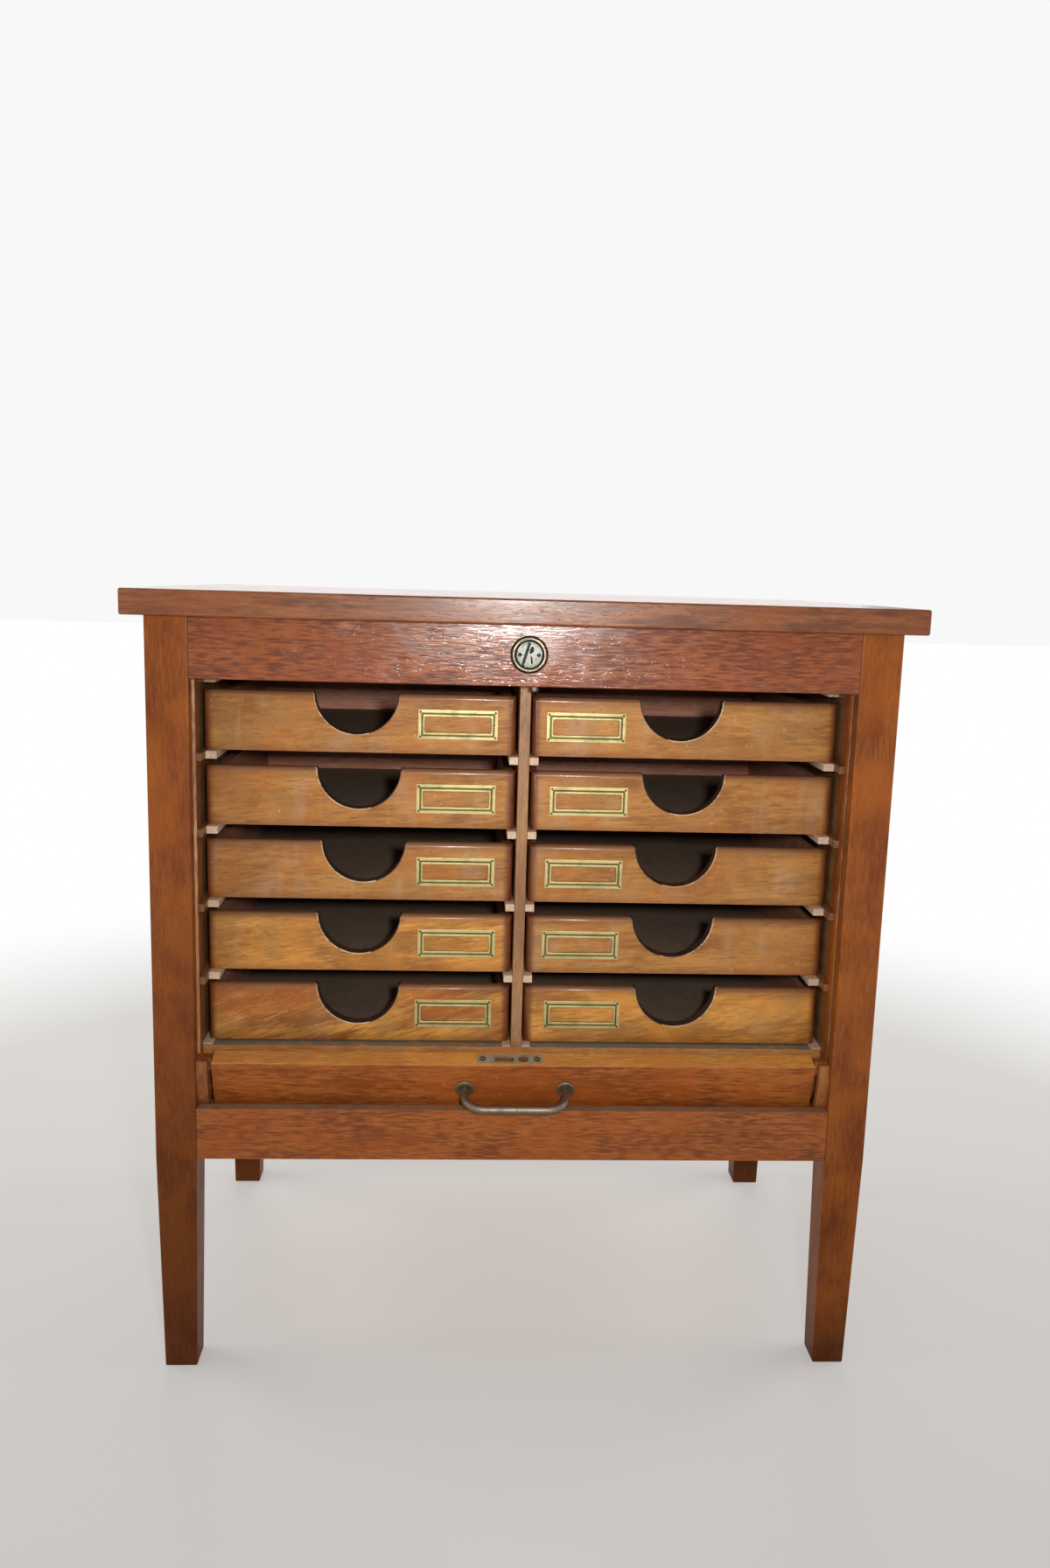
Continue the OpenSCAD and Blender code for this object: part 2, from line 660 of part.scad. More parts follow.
// Slats with their round faces outward, away from the trays
module shutter_slats() color(red_brown) placed() along_x(-shoe_end, shoe_end)
    for (i = [0 : slat_count - 1]) {
        s = slat_s(i);
        angle = bar_foot_angle + s / canvas_r * 180 / PI;
        if (s < bend_left)
            translate([bend_y - bend_r * cos(angle), bend_z - bend_r * sin(angle)])
                rotate(90 + angle) slat_profile();
        else
            translate([bend_y + s - bend_left, run_z]) rotate(180) slat_profile();
    }

module shutter_canvas() color(linen) placed() along_x(-bar_half, bar_half) {
    outer = bend_r - slat_t / 2 - canvas_gap;
    intersection() {
        translate([bend_y, bend_z]) difference() {
            circle(r = outer, $fn = 120);
            circle(r = outer - canvas_t, $fn = 120);
        }
        translate([bend_y, bend_z]) polygon([
            [0, 0], [-2 * bend_r * cos(bar_foot_angle + 1), -2 * bend_r * sin(bar_foot_angle + 1)], [0, -2 * bend_r]
        ]);
    }
    translate([bend_y, bend_z - outer]) square([slat_s(slat_count - 1) - bend_left + slat_pitch / 2 - 1, canvas_t]);
}

// ---- every node ----

top_board();
front_leg_left();
front_leg_right();
back_leg_left();
back_leg_right();
top_front_rail();
bottom_front_rail();
back_rails();
side_rails();
side_panels();
side_boards();
back_panel();
floor_boards();
centre_divider();
ledgers();
runners();
track_boards();
tray_stops();
lock_ring();
lock_case();
lock_plug();
lock_bolt();
guide_shoes();
lead_bar();
strike_plate();
strike_screws();
pull_handle();
handle_roses();
shutter_slats();
shutter_canvas();
for (column = [0, 1], row = ROWS) {
    tray = str("_", COLUMNS[column], "_", row);
    tray_front(column, row);
    tray_box(column, row);
    label_frame(column, row);
}
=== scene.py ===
# A low cabinet for papers: ten shallow trays in two columns on four square legs, with a roll
# shutter that is parked behind the low rail. Everything is in metres, in the frame's own axes.
import json
import math

import bpy
from mathutils import Matrix, Vector


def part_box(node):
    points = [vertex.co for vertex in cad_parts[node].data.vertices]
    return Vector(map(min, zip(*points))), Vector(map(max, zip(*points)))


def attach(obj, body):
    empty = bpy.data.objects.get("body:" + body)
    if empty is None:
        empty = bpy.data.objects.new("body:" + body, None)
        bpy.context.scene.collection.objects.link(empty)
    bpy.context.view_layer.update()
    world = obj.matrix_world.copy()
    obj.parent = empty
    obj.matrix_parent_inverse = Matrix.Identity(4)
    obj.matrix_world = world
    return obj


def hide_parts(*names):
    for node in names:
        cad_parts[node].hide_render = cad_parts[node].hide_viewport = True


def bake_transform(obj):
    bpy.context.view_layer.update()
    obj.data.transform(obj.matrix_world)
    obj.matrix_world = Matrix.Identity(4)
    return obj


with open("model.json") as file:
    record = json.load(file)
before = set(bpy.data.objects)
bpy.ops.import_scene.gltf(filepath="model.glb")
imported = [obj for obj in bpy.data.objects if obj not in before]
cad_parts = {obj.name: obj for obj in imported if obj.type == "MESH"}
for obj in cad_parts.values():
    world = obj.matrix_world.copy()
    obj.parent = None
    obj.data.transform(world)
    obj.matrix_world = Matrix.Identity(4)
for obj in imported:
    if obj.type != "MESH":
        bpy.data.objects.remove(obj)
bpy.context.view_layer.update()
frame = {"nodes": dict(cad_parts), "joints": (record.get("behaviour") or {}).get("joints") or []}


# ---- Legs ----
# Four square legs of reddish mahogany, planed and varnished. They taper at the foot, and the
# front pair has a groove down its inner face in which the shutter runs.
ARRIS = 0.0009
FOOT_DRAWN_IN = 0.0036
GROOVE_WIDTH = 0.012
GROOVE_DEPTH = 0.005
GROOVE_BEHIND = 0.012
GROOVE_ABOVE_RAIL = 0.006
BEND_RADIUS = 0.061
BEND_STARTS = 0.289
RUBBED_LEFT = 0.0026
RUBBED_RIGHT = 0.0024
# width of the pale strip on the leg's rear arris: wear and a painted highlight
WORN_LIT_ARRIS = 0.0013
MAHOGANY = (0.170, 0.038, 0.007)
MAHOGANY_LIGHT = (0.330, 0.092, 0.014)
PORE_DARK = (0.055, 0.014, 0.006)


def only(piece):
    """Makes one piece the only thing that is selected."""
    bpy.ops.object.select_all(action="DESELECT")
    piece.select_set(True)
    bpy.context.view_layer.objects.active = piece


def edit(piece, faces=None, edges=None):
    """Opens a piece in edit mode, with the faces or edges selected that pass the test."""
    only(piece)
    mesh = piece.data
    bpy.context.tool_settings.mesh_select_mode = (False, edges is not None, edges is None)
    for part in (mesh.vertices, mesh.edges, mesh.polygons):
        part.foreach_set("select", [False] * len(part))
    if faces:
        for face in mesh.polygons:
            face.select = bool(faces(face.center, face.normal))
    if edges:
        for edge in mesh.edges:
            start, end = (mesh.vertices[i].co for i in edge.vertices)
            edge.select = bool(edges((start + end) / 2, end - start))
    bpy.ops.object.mode_set(mode="EDIT")
    if not faces and not edges:
        bpy.ops.mesh.select_all(action="SELECT")


def done():
    """Closes edit mode and returns the piece."""
    bpy.ops.object.mode_set(mode="OBJECT")
    return bpy.context.object


def set_in_place(piece, location=(0, 0, 0), turn=(0, 0, 0)):
    """Moves and turns a piece, then puts its place into its mesh."""
    only(piece)
    piece.location = Vector(piece.location) + Vector(location)
    piece.rotation_euler = turn
    bpy.ops.object.transform_apply(location=True, rotation=True, scale=True)
    return piece


def block(name, low, high):
    """A squared block between its lowest and highest corners."""
    low, high = Vector(low), Vector(high)
    bpy.ops.object.select_all(action="DESELECT")
    bpy.ops.mesh.primitive_cube_add(size=1, location=(low + high) / 2)
    bpy.context.object.name = name
    bpy.context.object.scale = high - low
    return set_in_place(bpy.context.object)


def soften(piece, width, wanted=None, segments=2, finish=0, clamp=True):
    """Rounds the edges that pass the test, or all of them."""
    edit(piece, edges=wanted or (lambda middle, way: True))
    bpy.ops.mesh.bevel(offset=width, offset_type="OFFSET", segments=segments, affect="EDGES",
                       clamp_overlap=clamp, material=finish)
    return done()


def cut_away(piece, cutter):
    """Cuts one piece's shape out of another."""
    only(piece)
    cut = piece.modifiers.new("cut", "BOOLEAN")
    cut.operation = "DIFFERENCE"
    cut.solver = "EXACT"
    cut.object = cutter
    bpy.ops.object.modifier_apply(modifier=cut.name)
    bpy.data.objects.remove(cutter)
    return piece


def paint(piece, finishes, pick):
    """Gives a piece its finishes, and each face the one whose number pick gives for its place."""
    for finish in finishes:
        piece.data.materials.append(finish)
    for face in piece.data.polygons:
        face.material_index = int(pick(face.center, face.normal))


def smooth(piece, angle=35):
    """Shades round faces smooth and keeps flat ones flat."""
    only(piece)
    bpy.ops.object.shade_smooth_by_angle(angle=math.radians(angle))
    even = piece.modifiers.new("even", "WEIGHTED_NORMAL")
    even.keep_sharp = True
    bpy.ops.object.modifier_apply(modifier=even.name)
    return piece


def fit(piece, finishes, body, slot, *nodes):
    """Gives a piece its finishes, fixes it to a body and lets it stand for CAD nodes."""
    if not piece.data.materials:
        for finish in finishes:
            piece.data.materials.append(finish)
    else:
        for number, finish in enumerate(finishes):
            piece.data.materials[number] = finish
    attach(piece, body)
    if nodes:
        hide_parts(*nodes)
    return piece


class Wire:
    """An output of one of a material's nodes, as a value that can be added or multiplied."""

    def __init__(self, socket):
        self.socket = socket

    def node(self, kind, inputs, output=0, **settings):
        """Adds a node of a kind with its settings, then fills its inputs."""
        tree = self.socket.id_data
        made = tree.nodes.new(kind)
        for name, value in settings.items():
            setattr(made, name, value)
        for key, value in inputs.items():
            if isinstance(value, Wire):
                tree.links.new(value.socket, made.inputs[key])
            else:
                made.inputs[key].default_value = value
        return Wire(made.outputs[output])

    def math(self, operation, *values):
        return self.node("ShaderNodeMath", dict(enumerate(values)), operation=operation)

    def __add__(self, other):
        return self.math("ADD", self, other)

    def __sub__(self, other):
        return self.math("SUBTRACT", self, other)

    def __rsub__(self, other):
        return self.math("SUBTRACT", other, self)

    def __mul__(self, other):
        return self.math("MULTIPLY", self, other)

    __radd__ = __add__
    __rmul__ = __mul__

    def step(self, low, high):
        """0 below low, 1 above high, and smooth between."""
        return self.node("ShaderNodeMapRange", {"Value": self, "From Min": low, "From Max": high},
                         interpolation_type="SMOOTHSTEP")

    def noise(self, scale, detail=3.0, distortion=0.0, roughness=0.5):
        return self.node("ShaderNodeTexNoise", {"Vector": self, "Scale": scale, "Detail": detail,
                                                "Distortion": distortion, "Roughness": roughness})

    def stretched(self, scale, shift=(0, 0, 0), turn=(0, 0, 0)):
        return self.node("ShaderNodeMapping", {"Vector": self, "Location": shift, "Rotation": turn,
                                               "Scale": scale})

    def part(self, axis):
        return self.node("ShaderNodeSeparateXYZ", {0: self}, output=axis)

    def mix(self, first, second, blend="MIX"):
        """First where this value is 0, second where it is 1."""
        colours = [c if isinstance(c, Wire) else (*c, 1) for c in (first, second)]
        return self.node("ShaderNodeMix", {0: self, 6: colours[0], 7: colours[1]}, output=2,
                         data_type="RGBA", blend_type=blend)


def new_finish(name, **constants):
    """A material, its shader, and the wires of the place on the piece and the way it faces."""
    finish = bpy.data.materials.new(name)
    finish.use_nodes = True
    nodes = finish.node_tree.nodes
    shader = nodes["Principled BSDF"]
    for key, value in constants.items():
        shader.inputs[key.replace("_", " ")].default_value = value
    coordinates = nodes.new("ShaderNodeTexCoord")
    return finish, shader, Wire(coordinates.outputs["Object"]), Wire(coordinates.outputs["Normal"])


def connect(shader, **links):
    for key, wire in links.items():
        shader.id_data.links.new(wire.socket, shader.inputs[key.replace("_", " ")])


def wood(name, grain, light, dark, ember=None, cool=None, pore=PORE_DARK, clouds=1.6, lines=1.2,
         ticks=1.4, figure=0.0, gloss=0.40, shine=0.2, coat=0.2, film=0.25, slant=(0, 0, 0),
         dust=0.0, haze=0.0, scuffs=0.3, rim=None, shade_below=None):
    """Varnished wood. grain is the axis along the board, and slant turns it. clouds, lines, ticks
    and figure are how strong its broad, narrow and fine marks and its growth lines are. ember and
    cool tint patches of it. gloss is how rough the wood is and film how rough its varnish, and
    shine and coat are how much they mirror. dust, haze and scuffs are how much of each lies on
    it. rim paints shade on the ends and the top and bottom edges of a tray's front, and a tint
    on its upward rounding that is partly dust and partly painted shade. shade_below is the height
    from which painted shade darkens the wood towards the foot."""
    finish, shader, place, facing = new_finish(name, Coat_Roughness=film, Specular_IOR_Level=shine,
                                               Coat_Weight=coat)
    plank = place.stretched((1, 1, 1), turn=slant)

    def drawn_out(length):
        scale = [1.0, 1.0, 1.0]
        scale[grain] = 1 / length
        return plank.stretched(scale)

    # soft clouds of darker and lighter wood, streaks in them, and short fine ticks
    cloud = drawn_out(2.6).noise(27, 3, 0.4)
    streak = drawn_out(12).noise(150, 3, 0.3)
    tick = drawn_out(7).noise(470, 2)
    tone = cloud * clouds + streak * lines + tick * ticks + (0.5 - 0.5 * (clouds + lines + ticks))
    if figure:
        waves = plank.node("ShaderNodeTexWave",
                           {"Vector": drawn_out(7), "Scale": 26.0, "Distortion": 7.0, "Detail": 3.0,
                            "Detail Scale": 1.4, "Detail Roughness": 0.6},
                           bands_direction="DIAGONAL", wave_profile="SIN")
        tone = tone + waves * figure - figure * 0.5
    colour = tone.step(0.0, 1.0).mix(dark, light)
    warm = place.noise(15, 3, 0.6).step(0.42, 0.62)
    colour = (warm * 0.5).mix(colour, ember or [light[0] * 0.92, light[1] * 0.72, light[2] * 0.5])
    if cool:
        colour = (place.noise(21, 2, 0.4).step(0.48, 0.68) * 0.5).mix(colour, cool)

    # short dark pores, and the pale fleck beside some of them
    pores = drawn_out(6).noise(900, 1).step(0.58, 0.72) * streak.step(0.38, 0.60)
    flecks = drawn_out(6).noise(1100, 1).step(0.62, 0.74)
    colour = (pores * 0.35).mix(colour, pore)
    colour = (flecks * 0.2).mix(colour, [min(1, c * 1.45) for c in light])

    # small curved nicks, and rubbed patches
    curl = place.noise(60, 2, 0.8) - 0.5
    nicks = 1 - curl.math("ABSOLUTE", curl).step(0.002, 0.012)
    nicks = nicks * place.noise(160, 1).step(0.58, 0.64) * place.noise(14, 1).step(0.50, 0.62)
    rubbed = place.noise(30, 5, 0.8).step(0.54, 0.76)
    colour = (nicks * scuffs).mix(colour, (0.62, 0.42, 0.26))
    colour = (rubbed * (scuffs * 0.3)).mix(colour, [min(1, c * 1.5) for c in light])
    if haze:
        smear = place.stretched((44, 44, 13), turn=(0.0, 0.2, 0.0)).noise(1.0, 4, 0.5)
        colour = (smear.step(0.50, 0.78) * haze).mix(colour, (0.50, 0.36, 0.24))
    # painted shade: the wood gets darker towards the foot, from the given height down
    if shade_below:
        colour = (place.part(2).step(shade_below, 0.0) * 0.55).mix(colour, [c * 0.3 for c in dark])
    # painted shade on a tray's front: its ends and bands along its top and bottom edges are
    # darkened, and its upward rounding gets a duller tint, partly dust and partly painted shade
    if rim:
        along, upright = place.part(0), place.part(2) - rim["low"]
        along = along.math("ABSOLUTE", along.math("ABSOLUTE", along) - rim["middle"])
        upright = upright.math("MODULO", upright, rim["pitch"])
        ends = (along - rim["half"]).step(-0.0095, -0.0025)
        edges = upright.step(0.009, 0.0) + (upright - rim["tall"]).step(-0.012, -0.002)
        colour = (facing.part(2).step(0.05, 0.35) * 0.8).mix(colour, rim["upper"])
        colour = (edges * cloud * 0.7).mix(colour, rim["ends"])
        colour = (ends * (0.50 + cloud * 0.8)).mix(colour, rim["ends"])
    rough = tick * 0.16 + nicks * 0.2 + rubbed * 0.08 + place.noise(50, 3) * 0.16 + (gloss - 0.18)
    if dust:
        lying = facing.part(2).step(0.55, 0.95) * place.noise(90, 4).step(0.20, 0.56)
        colour = (lying * dust).mix(colour, (0.230, 0.205, 0.140))
        rough = rough + lying * (0.4 * dust)
    height = tick * 0.8 + streak * 0.6 - pores * 0.7 + place.noise(9, 2) * 4.0
    bump = height.node("ShaderNodeBump", {"Strength": 0.5, "Distance": 0.0003, "Height": height})
    connect(shader, Base_Color=colour, Roughness=rough, Normal=bump)
    return finish


# the legs carry painted shade towards the foot; the right front leg is lit more, so it gets less of
# it
LEG_LOOK = dict(grain=2, light=MAHOGANY_LIGHT, dark=MAHOGANY, ember=(0.400, 0.105, 0.010),
                clouds=1.5, lines=0.6, ticks=1.1, gloss=0.38, shine=0.12, coat=0.12, scuffs=0.08)
leg_finish = wood("leg_mahogany", shade_below=0.66, **LEG_LOOK)
less_shaded_leg_finish = wood("less_shaded_leg_mahogany", shade_below=0.10, **LEG_LOOK)
# pale bare wood: real wear in the groove, and on the leg's rear arris also a painted highlight
groove_finish = wood("bare_groove_and_lit_arris", 2, (0.70, 0.42, 0.24), (0.36, 0.17, 0.09), ticks=2.4,
                     gloss=0.6, coat=0.0)


def track_cutter(name, low_x, high_x):
    """The shutter's track as a solid: down the groove and round the bend."""
    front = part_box("front_leg_right")[0].y + GROOVE_BEHIND
    bend_y = front + GROOVE_WIDTH / 2 + BEND_RADIUS
    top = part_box("top_front_rail")[0].z + GROOVE_ABOVE_RAIL
    cutter = block(name, (low_x, front, BEND_STARTS), (high_x, front + GROOVE_WIDTH, top))
    edit(cutter, faces=lambda centre, normal: normal.z < -0.9)
    bpy.ops.mesh.spin(steps=12, angle=-math.pi / 2, center=(0, bend_y, BEND_STARTS), axis=(1, 0, 0))
    bpy.ops.mesh.extrude_region_move(TRANSFORM_OT_translate={"value": (0, 0.02, 0)})
    bpy.ops.mesh.select_all(action="SELECT")
    bpy.ops.mesh.normals_make_consistent(inside=False)
    return done()


rail_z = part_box("bottom_front_rail")[0].z
for node in ("front_leg_left", "front_leg_right", "back_leg_left", "back_leg_right"):
    low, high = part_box(node)
    leg = block(node.replace("leg", "post"), low, high)
    edit(leg)
    bpy.ops.mesh.bisect(plane_co=(0, 0, rail_z), plane_no=(0, 0, 1))
    done()
    # the leg keeps its full section down to the low rail, and its foot is drawn in below it
    edit(leg, faces=lambda centre, normal: normal.z < -0.9)
    taper = 1 - 2 * FOOT_DRAWN_IN / (high.x - low.x)
    bpy.ops.transform.resize(value=(taper, taper, 1), center_override=(*((low + high) / 2).xy, 0))
    done()
    soften(leg, ARRIS * 1.3, lambda middle, way: abs(way.z) > 0.5 * way.length)
    soften(leg, ARRIS, lambda middle, way: middle.z < 0.0001)
    if node.startswith("back"):
        fit(smooth(leg), [leg_finish], "carcass", "case_wood", node)
        continue
    side = 1 if high.x > 0 else -1
    inner = min(abs(low.x), abs(high.x))
    reach = sorted((side * (inner - 0.002), side * (inner + GROOVE_DEPTH)))
    cut_away(leg, track_cutter("groove", *reach))
    # the back wall of the groove is rubbed bare, and the arris behind it is painted pale: wear and
    # a painted highlight
    rubbed_to = inner + (RUBBED_LEFT if side < 0 else RUBBED_RIGHT)
    depth = high.y - low.y
    edit(leg)
    bpy.ops.mesh.bisect(plane_co=(side * rubbed_to, 0, 0), plane_no=(1, 0, 0))
    done()

    def rubbed(centre, normal):
        deep, behind = abs(centre.x), centre.y - low.y
        wall = normal.y < -0.5 and 0.02 < behind < depth - 0.001 and deep < inner + GROOVE_DEPTH
        arris = deep < inner + WORN_LIT_ARRIS and behind > depth - WORN_LIT_ARRIS
        return wall and (deep < rubbed_to) == (side < 0) or arris and centre.z > rail_z + 0.05

    # the right front leg gets less painted shade at the foot, as it is lit more than the others
    finishes = [less_shaded_leg_finish if side > 0 else leg_finish, groove_finish]
    paint(leg, finishes, rubbed)
    fit(smooth(leg), finishes, "carcass", "case_wood", node)


# ---- Rails and sides ----
# Cross rails tenoned into the legs, in the same mahogany, and plain inner boards. The top front
# rail is mortised from below for the lock's case.
CASE_HALF = 0.023
FACE_PLATE_HALF = 0.036
rail_finish = wood("rail_mahogany", 0, (0.300, 0.073, 0.009), (0.125, 0.025, 0.005), ticks=3.2,
                   lines=1.4, clouds=0.9, gloss=0.21, shine=0.40, coat=0.14, film=0.15, scuffs=0.1)
low_rail_finish = wood("low_rail_mahogany", 0, (0.430, 0.128, 0.027), (0.200, 0.050, 0.012),
                       ticks=2.6, clouds=1.1, gloss=0.40, dust=0.6, scuffs=0.15)
side_finish = wood("side_mahogany", 1, (0.33, 0.098, 0.022), (0.16, 0.038, 0.010), clouds=0.9,
                   ticks=2.2, figure=0.3, scuffs=0.15)
stained_finish = wood("stained_back", 0, (0.17, 0.070, 0.035), (0.095, 0.035, 0.018), gloss=0.5,
                      coat=0.0)
board_finish = wood("side_board", 1, (0.300, 0.150, 0.065), (0.160, 0.075, 0.030), gloss=0.5,
                    coat=0.1)


def round_bar(name, centre, radius, length, sides=64, turn=(math.pi / 2, 0, 0)):
    """A round bar about its centre, along Y unless it is turned."""
    bpy.ops.object.select_all(action="DESELECT")
    bpy.ops.mesh.primitive_cylinder_add(vertices=sides, radius=radius, depth=length, rotation=turn,
                                        location=centre)
    bpy.context.object.name = name
    return set_in_place(bpy.context.object, turn=turn)


def join(name, pieces):
    """Makes several pieces one object."""
    only(pieces[0])
    for piece in pieces:
        piece.select_set(True)
    bpy.ops.object.join()
    bpy.context.object.name = name
    return bpy.context.object


def refinish(finish, *nodes):
    """Gives CAD nodes that are shown as they are a finish."""
    for node in nodes:
        for slot in frame["nodes"][node].material_slots:
            slot.material = finish


def boards_of(node):
    """The corners of each separate board of a node."""
    mesh = frame["nodes"][node].data
    groups = {}
    for vertex in mesh.vertices:
        groups.setdefault(tuple(round(c, 6) for c in vertex.co), len(groups))
    parent = list(range(len(groups)))

    def root(i):
        while parent[i] != i:
            i = parent[i]
        return i

    spots = [groups[tuple(round(c, 6) for c in v.co)] for v in mesh.vertices]
    for face in mesh.polygons:
        first = root(spots[face.vertices[0]])
        for index in face.vertices[1:]:
            parent[root(spots[index])] = first
    boards = {}
    for spot, number in groups.items():
        boards.setdefault(root(number), []).append(Vector(spot))
    corners = []
    for points in boards.values():
        low = Vector(min(p[i] for p in points) for i in range(3))
        high = Vector(max(p[i] for p in points) for i in range(3))
        corners.append((low, high))
    return sorted(corners, key=lambda pair: tuple(pair[0]))


def planed_boards(name, corners, arris=ARRIS, segments=2):
    """Boards with softened edges, as one piece."""
    made = [soften(block(name, low, high), arris, segments=segments) for low, high in corners]
    return smooth(join(name, made))


def eased_copy(node, name, arris):
    """A copy of a node with its sharp edges softened."""
    piece = bpy.data.objects.new(name, frame["nodes"][node].data.copy())
    bpy.context.scene.collection.objects.link(piece)
    edit(piece)
    bpy.ops.mesh.customdata_custom_splitnormals_clear()
    bpy.ops.mesh.remove_doubles(threshold=0.000001)
    bpy.ops.mesh.dissolve_limited(angle_limit=math.radians(0.5))
    done()
    only(piece)
    ease = piece.modifiers.new("ease", "BEVEL")
    ease.width = arris
    ease.segments = 2
    ease.limit_method = "ANGLE"
    ease.angle_limit = math.radians(50)
    bpy.ops.object.modifier_apply(modifier=ease.name)
    piece.data.materials.clear()
    return smooth(piece)


def shown_rail(node, name):
    """A rail between the legs, with its tenons left out of sight."""
    low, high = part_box(node)
    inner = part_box("front_leg_right")[0].x
    return block(name, (-inner, low.y, low.z), (inner, high.y, high.z))


lock_low, lock_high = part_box("lock_plug")
lock_x, lock_z = 0.0, (lock_low.z + lock_high.z) / 2
top_rail = soften(shown_rail("top_front_rail", "top_rail"), ARRIS)
_, rail_front, rail_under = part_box("top_front_rail")[0]
cut_away(top_rail, round_bar("lock_hole", (lock_x, rail_front + 0.006, lock_z), 0.0125, 0.014))
cut_away(top_rail, block("case_mortise", (-CASE_HALF, rail_front + 0.0121, rail_under - 0.01),
                         (CASE_HALF, rail_front + 0.0239, rail_under + 0.045)))
cut_away(top_rail, block("plate_bed", (-FACE_PLATE_HALF, rail_front + 0.011, rail_under - 0.01),
                         (FACE_PLATE_HALF, rail_front + 0.025, rail_under + 0.002)))
fit(smooth(top_rail), [rail_finish], "carcass", "case_wood", "top_front_rail")

low_rail = soften(shown_rail("bottom_front_rail", "low_rail"), ARRIS)
fit(smooth(low_rail), [low_rail_finish], "carcass", "case_wood", "bottom_front_rail")

# the back rails stand flush with the legs, so they end at the legs' inner faces
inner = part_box("front_leg_right")[0].x
back_rails = planed_boards("rear_rails", [((-inner, low.y, low.z), (inner, high.y, high.z))
                                          for low, high in boards_of("back_rails")])
fit(back_rails, [rail_finish], "carcass", "case_wood", "back_rails")
side_rails = planed_boards("flank_rails", boards_of("side_rails"))
fit(side_rails, [side_finish], "carcass", "case_wood", "side_rails")

refinish(side_finish, "side_panels")
refinish(board_finish, "side_boards")
refinish(stained_finish, "back_panel")


# ---- Top board ----
# One wide board of browner mahogany, screwed down from below, with its edges a little rounded.
top_finish = wood("top_mahogany", 0, (0.285, 0.092, 0.024), (0.115, 0.032, 0.008), lines=2.0,
                  ticks=1.2, clouds=0.9, gloss=0.33, shine=0.34, coat=0.25, film=0.16, scuffs=0.12)
low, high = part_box("top_board")
top_board = soften(block("top_slab", low, high), 0.002, segments=4)
fit(smooth(top_board), [top_finish], "carcass", "top_wood", "top_board")


# ---- Floor, divider, ledgers and runners ----
# The trays slide on bare pine strips. Hardwood ledgers carry them at the sides, the divider
# carries them in the middle, and the lowest pair lies on the floor board.
shelf_finish = wood("shelf_wood", 0, (0.66, 0.300, 0.095), (0.40, 0.150, 0.040), dust=1.0,
                    gloss=0.5, coat=0.1, scuffs=0.5)
divider_finish = wood("divider_wood", 2, (0.40, 0.215, 0.095), (0.24, 0.110, 0.050), gloss=0.42,
                      coat=0.3, scuffs=0.5)
ledger_finish = wood("ledger_wood", 1, (0.30, 0.150, 0.060), (0.18, 0.080, 0.034), gloss=0.55,
                     coat=0.0)
pine_finish = wood("bare_pine", 1, (0.78, 0.57, 0.41), (0.56, 0.38, 0.26), pore=(0.30, 0.18, 0.11),
                   ember=(0.52, 0.34, 0.22), gloss=0.75, coat=0.0, scuffs=0.1)
track_finish = wood("track_wood", 2, (0.42, 0.160, 0.045), (0.22, 0.065, 0.018))

for node, name, finish, arris, slot in (
        ("floor_boards", "tray_floor", shelf_finish, 0.0008, "plain_wood"),
        ("centre_divider", "middle_board", divider_finish, 0.0009, "case_wood"),
        ("ledgers", "side_ledgers", ledger_finish, 0.0005, "case_wood"),
        ("runners", "pine_runners", pine_finish, 0.0006, "plain_wood"),
        ("track_boards", "track_cheeks", track_finish, 0.0006, "case_wood"),
        ("tray_stops", "rear_stops", pine_finish, 0.0008, "plain_wood")):
    fit(eased_copy(node, name, arris), [finish], "carcass", slot, node)


# ---- Trays ----
# Each tray is a thin-walled box behind a thicker front of golden-brown mahogany. The front's top
# edge and ends are rounded over, and a half-round finger cut-out is sawn from its top edge.
TRAYS = [f"{column}_{row}" for column in ("left", "right") for row in range(1, 6)]
ROUND_OVER = 0.0045
NOTCH_RADIUS = 0.0375
NOTCH_EASE = 0.0025
NOTCH_CHIP = 0.0009
# how far past the middle of the cut-out its rim stays pale before the painted shade starts
LIT_RIM_TO = 0.012
NOTCH_OFF = (-0.0040, -0.0024, 0.0026, -0.0019, -0.0024, -0.0041, 0.0006, -0.0032, -0.0026, 0.0039)
TRAY_LIGHT = (0.520, 0.235, 0.058)
TRAY_DARK = (0.270, 0.098, 0.020)
low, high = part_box("tray_front_left_1")
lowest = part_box("tray_front_left_5")[0].z
# colours and places of the painted shade at the tray fronts' ends and edges, and of the duller tint
# of their upward rounding (dust and painted shade)
TRAY_RIM_SHADE = {"ends": (0.140, 0.034, 0.010), "upper": (0.300, 0.150, 0.075), "low": lowest - 0.0001,
            "pitch": (low.z - lowest) / 4, "tall": high.z - low.z,
            "middle": -(low.x + high.x) / 2, "half": (high.x - low.x) / 2}
TRAY_LOOK = dict(grain=0, cool=(0.38, 0.190, 0.052), gloss=0.34, shine=0.18, coat=0.2, film=0.14,
                 rim=TRAY_RIM_SHADE)
tray_finish = wood("tray_mahogany", light=TRAY_LIGHT, dark=TRAY_DARK, ember=(0.46, 0.155, 0.026),
                   haze=0.3, scuffs=0.6, clouds=2.0, lines=0.9, slant=(0, 0.06, 0), **TRAY_LOOK)
TRAY_LOOK["light"] = (0.760, 0.345, 0.066)
golden_finish = wood("tray_golden", dark=(0.360, 0.138, 0.024), ember=(0.62, 0.235, 0.036),
                     haze=0.1, scuffs=0.4, clouds=2.4, lines=0.7, slant=(0, 0.12, 0), **TRAY_LOOK)
figured_finish = wood("tray_figured", dark=(0.270, 0.094, 0.018), ember=(0.56, 0.150, 0.026),
                      figure=0.4, haze=0.1, scuffs=0.5, clouds=2.4, slant=(0, 0.35, 0), **TRAY_LOOK)
